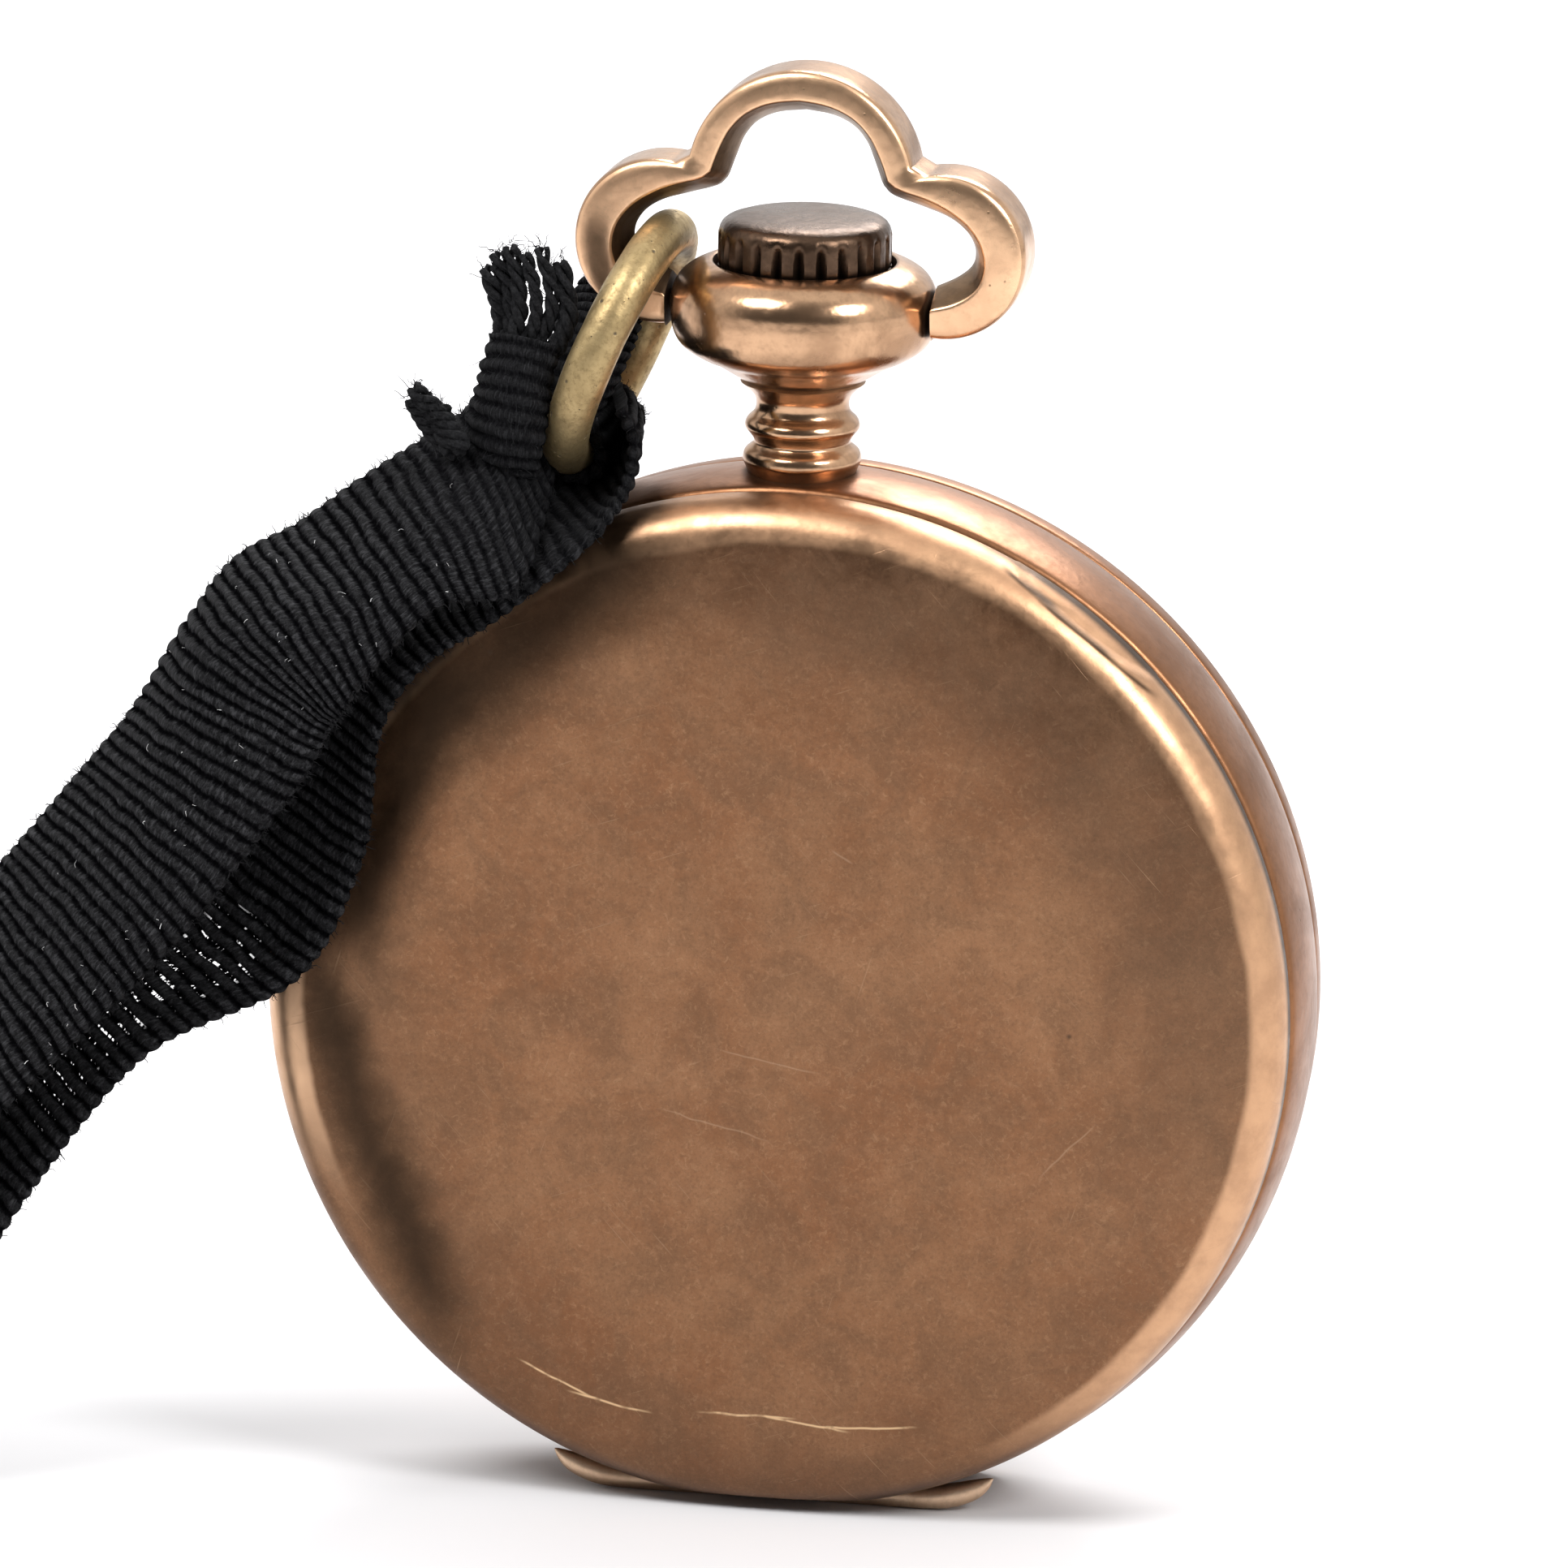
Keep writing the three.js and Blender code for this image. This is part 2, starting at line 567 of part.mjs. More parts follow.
place('regulator', (() => {
  const ring = slab(circle(1.3, 16), [-2.05, -1.9], [circle(0.75, 12).reverse()]);
  const pointer = slab([[1.1, -0.25], [4.6, -0.06], [4.6, 0.06], [1.1, 0.25]], [-2.05, -1.9]);
  return join(ring, pointer).rotateY(toRadians(20));
})(), 'steel', AXIS.balance);

// ---------------------------------------------------------------- motion work and hands

place('cannon_pinion', (() => {
  const leaves = slab(toothed(0.62, 0.48, 10), [1.38, 1.56]);
  return cut(join(leaves, disc(0.36, [1.38, 2.72], 10)), disc(0.24, [1, 3], 8));
})(), 'steel');
place('hour_wheel', (() => {
  const wheel = slab(toothed(2.0, 1.84, 32), [1.6, 1.74]);
  return cut(join(wheel, disc(0.7, [1.6, 2.52], 12)), disc(0.44, [1, 3], 10));
})(), 'gilt');
place('minute_wheel', (() => {
  const wheel = slab(toothed(1.86, 1.7, 30), [1.38, 1.5]);
  const pinion = slab(toothed(0.46, 0.34, 8), [1.48, 1.76]);
  return join(wheel, pinion, disc(0.13, [0.9, 1.4], 6));
})(), 'gilt', AXIS.minute);

// A hand drawn along +X: a ring on its pipe, a leaf-shaped blade and a tail.
function hand({ level, hole, boss, tail, reach, width }) {
  const blade = slab([
    [-tail, -width * 0.3], [0, -width * 0.5], [reach * 0.45, -width], [reach, -0.04],
    [reach, 0.04], [reach * 0.45, width], [0, width * 0.5], [-tail, width * 0.3],
  ], level);
  return cut(join(blade, disc(boss, level, 12)), disc(hole, [level[0] - 1, level[1] + 1], 12));
}

// Seen from the dial side, twelve o'clock points towards +X and three o'clock towards the pendant.
const dialAngle = (hours) => hours * 30;
place('hour_hand', hand({
  level: [2.42, 2.5], hole: 0.74, boss: 1.2, tail: 1.6, reach: 7.4, width: 0.55,
}).rotateY(-toRadians(dialAngle(10.16))), 'blued_steel');
place('minute_hand', hand({
  level: [2.62, 2.7], hole: 0.4, boss: 0.9, tail: 2.0, reach: 11.6, width: 0.42,
}).rotateY(-toRadians(dialAngle(1.9))), 'blued_steel');
place('seconds_hand', hand({
  level: [2.26, 2.31], hole: 0.13, boss: 0.35, tail: 0.9, reach: 2.3, width: 0.1,
}).rotateY(-toRadians(dialAngle(7))), 'blued_steel', AXIS.fourth);

// ---------------------------------------------------------------- case springs

for (const [name, from, to] of [['lift_spring', 100, 168], ['lock_spring', 14, 80]]) {
  place(name, slab(sector(14.95, 15.25, from, to, 8), [-2.1, -1.2]), 'steel');
}

// ---------------------------------------------------------------- pendant and crown

function pendant() {
  const outline = [
    [PENDANT.boreR, PENDANT.baseZ], [1.8, PENDANT.baseZ], [1.92, 18.0], [1.62, 18.4], [1.88, 18.9],
    [1.54, 19.6], [2.05, 20.4], [3.6, 21.4], [4.33, 22.1], [4.41, 22.95], [4.3, 23.6], [3.3, 24.5],
    [PENDANT.cupR, 24.5],
    [PENDANT.cupR, PENDANT.cupZ], [PENDANT.boreR, PENDANT.cupZ],
  ];
  const bowl = revolveUpright(outline, 18);
  const pivot = rodX(0.4, -6, 6, 0, PENDANT.pivotZ, 8);
  return cut(bowl, pivot);
}

function crown() {
  const { r, fluteDepth, flutes, baseZ, sideTopZ, topZ } = CROWN;
  const grip = slab(toothed(r, r - fluteDepth, flutes), [-sideTopZ, -baseZ]).rotateX(-Math.PI / 2);
  const top = sideTopZ - 0.01;
  const dome = revolveUpright([[0, top], [r - fluteDepth, top], [2.3, top + 0.3], [1.3, top + 0.46], [0, topZ]], 24);
  return cut(join(grip, dome), rodZ(0.45, baseZ - 1, STEM.highZ + 0.05, 8));
}

place('pendant', pendant(), 'rose_gold');
place('crown', crown(), 'worn_brass');

// ---------------------------------------------------------------- bow

// Half outline of the trefoil bow: three lobes outside, a softer cusp inside.
function bowOutline() {
  const topLobe = arcPoints(3.83, 90, 12, 6, [0, 27.22]);
  const sideLobe = arcPoints(2.77, 102, -97, 9, [4.8, 25.05]);
  const inner = [
    [BOW.endX, 23.88], [5.4, 24.4], [5.72, 24.9], [5.68, 25.5], [5.2, 26.05], [4.3, 26.45], [3.3, 26.66],
    [2.75, 26.98], [2.42, 27.55], [2.2, 28.3], [1.7, 29.05], [0.95, 29.45], [0, BOW.innerTopZ],
  ];
  const half = [...topLobe, ...sideLobe, [BOW.endX, 22.2], ...inner];
  const otherHalf = half.slice(1, -1).reverse().map(([x, z]) => [-x, z]);
  return [...half, ...otherHalf];
}

// The two round studs on the ends of the bow are what it turns on, in the sides of the pendant.
place('bow', join(
  slab(bowOutline(), [-BOW.halfDepth, BOW.halfDepth], [], BOW.bevel),
  rodX(0.33, 3.4, 4.9, 0, PENDANT.pivotZ, 8),
  rodX(0.33, -4.9, -3.4, 0, PENDANT.pivotZ, 8),
), 'rose_gold');

// ---------------------------------------------------------------- jump ring and ribbon

const jumpRing = place('jump_ring', new THREE.TorusGeometry(RING.midR, RING.wireR, 8, 20), 'olive_brass');
jumpRing.position.set(...RING.at);
jumpRing.quaternion.setFromUnitVectors(new THREE.Vector3(0, 0, 1), new THREE.Vector3(...RING.axis).normalize());

// The ribbon is one strip doubled into a loop: out along the front layer, round the far fold on the
// floor, and back along the rear layer. Each stop is its upper edge, its lengthwise crease and its
// lower edge.
const RIBBON_STOPS = [
  [[-11.6, -3.1, 18.7], [-9.3, -6.1, 17.1], [-7.9, -6.7, 14.0]],
  [[-14.3, -3.2, 16.8], [-11.8, -7.2, 15.5], [-10.4, -8.2, 14.1]],
  [[-16.4, -3.0, 15.2], [-13.5, -7.8, 14.2], [-12.1, -9.0, 12.4]],
  [[-18.6, -2.8, 13.8], [-15.9, -8.0, 13.3], [-13.3, -9.4, 10.7]],
  [[-21.7, -2.6, 8.9], [-18.8, -7.8, 9.1], [-15.0, -9.4, 7.8]],
  [[-24.8, -3.0, 4.9], [-20.9, -8.6, 4.2], [-18.9, -9.8, 2.5]],
  [[-28.3, -3.4, 0.6], [-24.7, -9.0, -0.8], [-23.3, -10.2, -2.1]],
  [[-33.6, -3.2, -5.6], [-31.6, -8.2, -6.4], [-29.6, -11.2, -8.2]],
  [[-39.6, -2.8, -11.0], [-38.2, -7.6, -11.2], [-36.6, -12.0, -12.8]],
  [[-46.6, -2.8, -14.4], [-46.0, -7.8, -14.3], [-45.2, -12.6, -15.0]],
  [[-53.6, -3.0, -15.7], [-53.2, -8.0, -15.6], [-52.8, -13.0, -15.7]],
  [[-58.0, -3.2, -15.9], [-57.8, -8.2, -15.9], [-57.6, -13.2, -15.9]],
  [[-58.6, -3.2, -16.45], [-58.4, -8.2, -16.45], [-58.2, -13.2, -16.45]],
  [[-58.0, -3.2, -17.0], [-57.8, -8.2, -17.0], [-57.6, -13.2, -17.0]],
  [[-53.6, -3.0, -17.0], [-53.2, -8.0, -17.0], [-52.8, -13.0, -17.0]],
  [[-46.0, -2.8, -16.9], [-45.6, -7.8, -16.9], [-44.8, -12.6, -16.9]],
  [[-38.8, -2.4, -15.2], [-37.6, -7.2, -15.8], [-35.4, -11.2, -16.7]],
  [[-33.4, -2.0, -9.4], [-31.4, -6.6, -11.2], [-28.6, -10.2, -13.4]],
  [[-29.2, -2.0, -2.9], [-26.8, -5.6, -4.6], [-23.8, -9.0, -6.3]],
  [[-25.9, -1.6, 0.8], [-23.2, -4.9, -0.4], [-20.2, -7.8, -1.8]],
  [[-22.7, -1.2, 4.3], [-19.2, -4.4, 2.7], [-15.3, -7.2, 0.9]],
  [[-20.3, -1.0, 7.8], [-17.0, -4.2, 6.6], [-13.2, -7.0, 5.2]],
  [[-17.3, -1.0, 11.3], [-15.1, -4.1, 10.4], [-12.7, -6.8, 9.3]],
  [[-14.7, -1.2, 13.4], [-13.3, -4.0, 12.5], [-11.5, -6.3, 11.4]],
  [[-11.5, -1.1, 15.9], [-10.2, -3.7, 14.4], [-8.8, -5.7, 12.8]],
];

function ribbon() {
  const samples = (RIBBON_STOPS.length - 1) * RIBBON.stepsPerStop;
  const lines = [0, 1, 2].map((i) => new THREE.CatmullRomCurve3(
    RIBBON_STOPS.map((stop) => new THREE.Vector3(...stop[i])),
  ).getPoints(samples));
  const rings = Array.from({ length: samples + 1 }, (_, i) => {
    const ahead = lines[1][Math.min(i + 1, samples)];
    const behind = lines[1][Math.max(i - 1, 0)];
    const across = lines[2][i].clone().sub(lines[0][i]);
    const outward = ahead.clone().sub(behind).cross(across).setLength(RIBBON.thickness / 2);
    const face = (sign) => lines.map((line) => line[i].clone().addScaledVector(outward, sign).toArray());
    return [...face(-1), ...face(1).reverse()];
  });
  return loft(rings);
}

place('ribbon', ribbon(), 'grosgrain');

export default watch;
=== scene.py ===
"""Lady's hunter-case fob watch on its black grosgrain ribbon.

Lengths are written in millimetres from the centre of the case, with +Z up through the pendant and
-Y out of the back cover; `at` turns them into metres in the row frame.
"""

import json
import math
import random

import bpy
from mathutils import Matrix, Vector, noise


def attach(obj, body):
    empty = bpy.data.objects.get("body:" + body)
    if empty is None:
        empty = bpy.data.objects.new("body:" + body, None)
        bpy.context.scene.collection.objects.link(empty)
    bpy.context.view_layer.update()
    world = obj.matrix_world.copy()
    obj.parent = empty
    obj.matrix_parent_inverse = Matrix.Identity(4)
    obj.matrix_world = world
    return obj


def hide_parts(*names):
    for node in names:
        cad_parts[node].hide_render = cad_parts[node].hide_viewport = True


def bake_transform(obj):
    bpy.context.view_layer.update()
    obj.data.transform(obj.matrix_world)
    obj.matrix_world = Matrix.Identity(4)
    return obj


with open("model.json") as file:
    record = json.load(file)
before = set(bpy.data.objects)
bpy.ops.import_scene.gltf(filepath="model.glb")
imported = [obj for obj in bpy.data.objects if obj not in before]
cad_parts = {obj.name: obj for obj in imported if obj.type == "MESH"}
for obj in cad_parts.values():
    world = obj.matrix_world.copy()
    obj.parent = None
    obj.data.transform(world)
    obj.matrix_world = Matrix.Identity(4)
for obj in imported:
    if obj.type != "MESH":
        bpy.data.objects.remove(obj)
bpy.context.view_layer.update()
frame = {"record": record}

# ---------- dimensions, in millimetres
# The row frame's origin is the inner top of the bow, this far above the centre of the case.
CENTRE_Z = -29.56
# The foot that the watch stands on is cut flat, at no point further out than FLAT_HALF.
FLAT_Z, FLAT_HALF = -17.22, 6.0
# The back hinge is at -HINGE_Y and the front hinge at +HINGE_Y; the case's tubes are on both sides of
# each cover's knuckle.
HINGE_Y, HINGE_Z, HINGE_CLEAR = 2.36, -16.8, 0.47
KNUCKLE_HALF, KNUCKLE_R, TUBE_START, TUBE_END = 1.5, 0.42, 1.52, 7.7
CROWN_R, CROWN_FOOT_Z, BOW_PIVOT_Z = 2.87, 24.35, 22.95
# RING_R is to the middle of the wire, and RING_WIRE is the wire's own radius.
RING_AT, RING_R, RING_WIRE = Vector((-6.04, -0.69, 21.52)), 4.0, 0.78
RING_AXIS = Vector((0.87, -0.042, -0.352)).normalized()
RIBBON_WIDE, RIBBON_HALF_THICK = 10.0, 0.19
RIB_PITCH, ROWS_PER_RIB = 0.52, 7
STRETCHED_AT, KNOT_AT = (-21.0, -6.5, -0.8), (-8.0, -3.5, 18.8)


def at(x, y, z):
    return Vector((x, y, z + CENTRE_Z)) / 1000


# ---------- mesh helpers
def add_object(name, data):
    obj = bpy.data.objects.new(name, data)
    bpy.context.scene.collection.objects.link(obj)
    return obj


def make_piece(name, verts, faces, body, material, replaced=(), sharp=35):
    """A smooth-shaded mesh from millimetre points, riding on a CAD body."""
    mesh = bpy.data.meshes.new(name)
    mesh.from_pydata([at(*v) for v in verts], [], faces)
    mesh.validate()
    mesh.shade_smooth()
    mesh.set_sharp_from_angle(angle=math.radians(sharp))
    obj = add_object(name, mesh)
    obj.data.materials.append(material)
    if body:
        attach(obj, body)
    if replaced:
        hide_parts(*replaced)
    return obj


def spline(points, steps):
    """Points along a Catmull-Rom curve through the given points."""
    line = [Vector(p).resized(3) if len(p) == 2 else Vector(p) for p in points]
    ends = [2 * line[0] - line[1]] + line + [2 * line[-1] - line[-2]]
    out = []
    for i in range(1, len(ends) - 2):
        p0, p1, p2, p3 = ends[i - 1 : i + 3]
        for k in range(steps):
            t = k / steps
            out.append(
                0.5
                * (
                    2 * p1
                    + (p2 - p0) * t
                    + (2 * p0 - 5 * p1 + 4 * p2 - p3) * t * t
                    + (3 * p1 - p0 - 3 * p2 + p3) * t * t * t
                )
            )
    return out + [line[-1]]


def subdivide(points, longest):
    """The same outline with no straight step longer than `longest`."""
    out = []
    for a, b in zip(points, points[1:]):
        a, b = Vector(a), Vector(b)
        count = max(1, math.ceil((b - a).length / longest))
        out += [a.lerp(b, k / count) for k in range(count)]
    return out + [Vector(points[-1])]


def lengths_along(line):
    """How far along a polyline each of its points is."""
    lengths = [0.0]
    for a, b in zip(line, line[1:]):
        lengths.append(lengths[-1] + (b - a).length)
    return lengths


def even_steps(line, count):
    """Where evenly spaced points fall on a polyline: the step each is in and the share of it passed."""
    lengths, out, k = lengths_along(line), [], 0
    for i in range(count):
        want = lengths[-1] * i / (count - 1)
        while k < len(line) - 2 and lengths[k + 1] < want:
            k += 1
        out.append((k, (want - lengths[k]) / max(lengths[k + 1] - lengths[k], 1e-9)))
    return out


def resample(points, count):
    line = [Vector(p) for p in points]
    return [line[k].lerp(line[k + 1], t) for k, t in even_steps(line, count)]


def flat_spline(points, steps):
    return [(p[0], p[1]) for p in spline(points, steps)]


def grid_faces(rows, columns, wrap_rows=False, wrap_columns=True, flip=False, start=0):
    """Quads over a grid of points stored row by row."""
    faces = []
    for i in range(rows if wrap_rows else rows - 1):
        for j in range(columns if wrap_columns else columns - 1):
            a, b = start + i * columns + j, start + i * columns + (j + 1) % columns
            c = start + ((i + 1) % rows) * columns + (j + 1) % columns
            d = start + ((i + 1) % rows) * columns + j
            faces.append((a, d, c, b) if flip else (a, b, c, d))
    return faces


def revolve(profile, segments, upright=False):
    """Turns [radius, height] points about Y, or about Z when upright."""
    verts = []
    for i in range(segments):
        turn = 2 * math.pi * i / segments
        c, s = math.cos(turn), math.sin(turn)
        for r, h in profile:
            verts.append((r * c, r * s, h) if upright else (r * c, h, r * s))
    return verts, grid_faces(segments, len(profile), wrap_rows=True)


def sideways(path, i):
    """Two directions square to a path and to each other, at one of its points."""
    along = (path[min(i + 1, len(path) - 1)] - path[max(i - 1, 0)]).normalized()
    side = along.cross(Vector((0.31, 0.87, 0.38))).normalized()
    return side, side.cross(along)


def tube(path, radius, sides, taper=0.0):
    """A round rod along a path, its ends closed."""
    verts, rings = [], len(path)
    for i, p in enumerate(path):
        side, up = sideways(path, i)
        r = radius * (1 - taper * i / (rings - 1))
        for k in range(sides):
            turn = 2 * math.pi * k / sides
            verts.append(p + r * (math.cos(turn) * side + math.sin(turn) * up))
    faces = grid_faces(rings, sides)
    faces.append(tuple(reversed(range(sides))))
    faces.append(tuple((rings - 1) * sides + k for k in range(sides)))
    return verts, faces


def add_part(verts, faces, more):
    """Adds another list of points and faces, renumbered, to one mesh."""
    offset = len(verts)
    verts += more[0]
    faces += [tuple(i + offset for i in face) for face in more[1]]


def from_hinge(v, side):
    """Keeps a point clear of the hinge tubes by moving it away from their axis."""
    x, y, z = v
    dy, dz = y - side * HINGE_Y, z - HINGE_Z
    reach = math.hypot(dy, dz)
    if not TUBE_START < abs(x) < TUBE_END or reach >= HINGE_CLEAR:
        return (x, y, z)
    if reach < 0.08:
        return (x, y, HINGE_Z + HINGE_CLEAR)
    return (x, side * HINGE_Y + dy * HINGE_CLEAR / reach, HINGE_Z + dz * HINGE_CLEAR / reach)


# ---------- material helper
class Graph:
    """Builds one node material whose patterns are measured in millimetres on the object."""

    def __init__(self, name, metallic=1.0, roughness=0.3):
        self.material = bpy.data.materials.new(name)
        self.material.use_nodes = True
        self.tree = self.material.node_tree
        self.shader = self.tree.nodes["Principled BSDF"]
        self.set("Metallic", metallic)
        self.set("Roughness", roughness)
        place = self.add("TexCoord").outputs["Object"]
        self.mm = self.vector("MULTIPLY_ADD", place, (1000, 1000, 1000), (0, 0, -CENTRE_Z))

    def add(self, kind, **settings):
        node = self.tree.nodes.new("ShaderNode" + kind)
        for key, value in settings.items():
            setattr(node, key, value)
        return node

    def feed(self, socket, value):
        if isinstance(value, bpy.types.NodeSocket):
            self.tree.links.new(value, socket)
        else:
            socket.default_value = value

    def set(self, name, value):
        if isinstance(value, tuple) and len(value) == 3:
            value = (*value, 1.0)
        self.feed(self.shader.inputs[name], value)

    def vector(self, operation, *values):
        node = self.add("VectorMath", operation=operation)
        for socket, value in zip(node.inputs, values):
            self.feed(socket, value)
        return node.outputs[0]

    def distance(self, point):
        node = self.add("VectorMath", operation="DISTANCE")
        self.feed(node.inputs[0], self.mm)
        self.feed(node.inputs[1], point)
        return node.outputs["Value"]

    def math(self, operation, *values, clamp=False):
        node = self.add("Math", operation=operation, use_clamp=clamp)
        for socket, value in zip(node.inputs, values):
            self.feed(socket, value)
        return node.outputs[0]

    def plus(self, a, b):
        return self.math("ADD", a, b)

    def minus(self, a, b):
        return self.math("SUBTRACT", a, b)

    def times(self, a, b):
        return self.math("MULTIPLY", a, b)

    def split(self, vector=None):
        node = self.add("SeparateXYZ")
        self.feed(node.inputs[0], vector or self.mm)
        return node.outputs

    def stretch(self, *scale):
        return self.vector("MULTIPLY", self.mm, scale)

    def noise(self, scale, detail=4, rough=0.55, vector=None, distortion=0.0):
        node = self.add("TexNoise")
        self.feed(node.inputs["Vector"], vector or self.mm)
        for name, value in (("Scale", scale), ("Detail", detail), ("Roughness", rough)):
            node.inputs[name].default_value = value
        node.inputs["Distortion"].default_value = distortion
        return node.outputs[0]

    def cells(self, scale):
        node = self.add("TexVoronoi")
        self.feed(node.inputs["Vector"], self.mm)
        node.inputs["Scale"].default_value = scale
        return node.outputs["Distance"]

    def span(self, value, low, high, to_low=0.0, to_high=1.0):
        """Smoothly maps low..high to to_low..to_high."""
        node = self.add("MapRange", interpolation_type="SMOOTHSTEP")
        for socket, number in zip(node.inputs, (value, low, high, to_low, to_high)):
            self.feed(socket, number)
        return node.outputs[0]

    def mix(self, factor, a, b):
        node = self.add("Mix", data_type="RGBA")
        self.feed(node.inputs[0], factor)
        for socket, value in ((node.inputs[6], a), (node.inputs[7], b)):
            self.feed(socket, (*value, 1.0) if isinstance(value, tuple) else value)
        return node.outputs[2]

    def over(self, factor, colour):
        """Lays a colour over the base colour built so far."""
        self.tone = self.mix(factor, self.tone, colour)

    def bump(self, height, distance, after=None):
        """distance is the height of the relief in millimetres."""
        node = self.add("Bump")
        node.inputs["Distance"].default_value = distance / 1000
        self.feed(node.inputs["Height"], height)
        if after is not None:
            self.feed(node.inputs["Normal"], after)
        self.feed(self.shader.inputs["Normal"], node.outputs[0])
        return node.outputs[0]

    def near_line(self, start, end, width, wobble=0.0):
        """1 on a thin line between two [x, z] points on the back, 0 away from it."""
        parts = self.split()
        dx, dz = end[0] - start[0], end[1] - start[1]
        length = math.hypot(dx, dz)
        ux, uz = dx / length, dz / length
        px = self.minus(parts[0], start[0])
        pz = self.minus(parts[2], start[1])
        along = self.plus(self.times(px, ux), self.times(pz, uz))
        across = self.minus(self.times(px, uz), self.times(pz, ux))
        if wobble:
            drift = self.minus(self.noise(0.5, 2), 0.5)
            across = self.plus(across, self.times(drift, wobble))
        off_side = self.span(self.math("ABSOLUTE", across), 0.0, width, 1.0, 0.0)
        middle = self.math("ABSOLUTE", self.minus(along, length / 2))
        off_end = self.span(middle, length * 0.25, length / 2, 1.0, 0.0)
        return self.times(off_side, off_end)


# ---------- metals of the case
def scratches(g, count_scale, angle, amount):
    """Fine straight hairlines in one direction on the back."""
    c, s = math.cos(angle), math.sin(angle)
    x, _, z = g.split()
    along = g.plus(g.times(x, c), g.times(z, s))
    across = g.minus(g.times(z, c), g.times(x, s))
    joined = g.add("CombineXYZ")
    g.feed(joined.inputs[0], g.times(along, 0.16))
    g.feed(joined.inputs[1], g.times(across, count_scale))
    lines = g.noise(1.0, 3, 0.7, joined.outputs[0], 0.3)
    return g.span(lines, 0.66 - amount, 0.72 - amount)


# The rubbed line above the hinge, as overlapping [x, z] strokes.
WEAR_LINE = [
    ((-8.4, -12.3), (-5.4, -13.7)),
    ((-6.7, -13.35), (-3.5, -14.0)),
    ((-2.3, -13.75), (1.4, -13.72)),
    ((-0.2, -13.7), (3.2, -14.05)),
    ((1.6, -13.95), (5.5, -13.8)),
]
# Painted shadow and reflection of the ribbon on the lid, as [x, z] strokes and their half width.
RIBBON_SHADE = [
    ((-14.6, 0.0), (-10.6, 11.8), 1.9),
    ((-13.2, 7.6), (-2.6, 17.4), 3.2),
    ((-16.6, 3.5), (-10.0, -13.5), 1.9),
]
# Painted shade along the foot of the nail nick, as overlapping [x, z] strokes.
NICK_SHADE_LINE = [
    ((12.9, 11.2), (10.4, 13.23)),
    ((11.5, 12.4), (8.5, 14.64)),
    ((9.6, 13.93), (7.3, 15.5)),
]


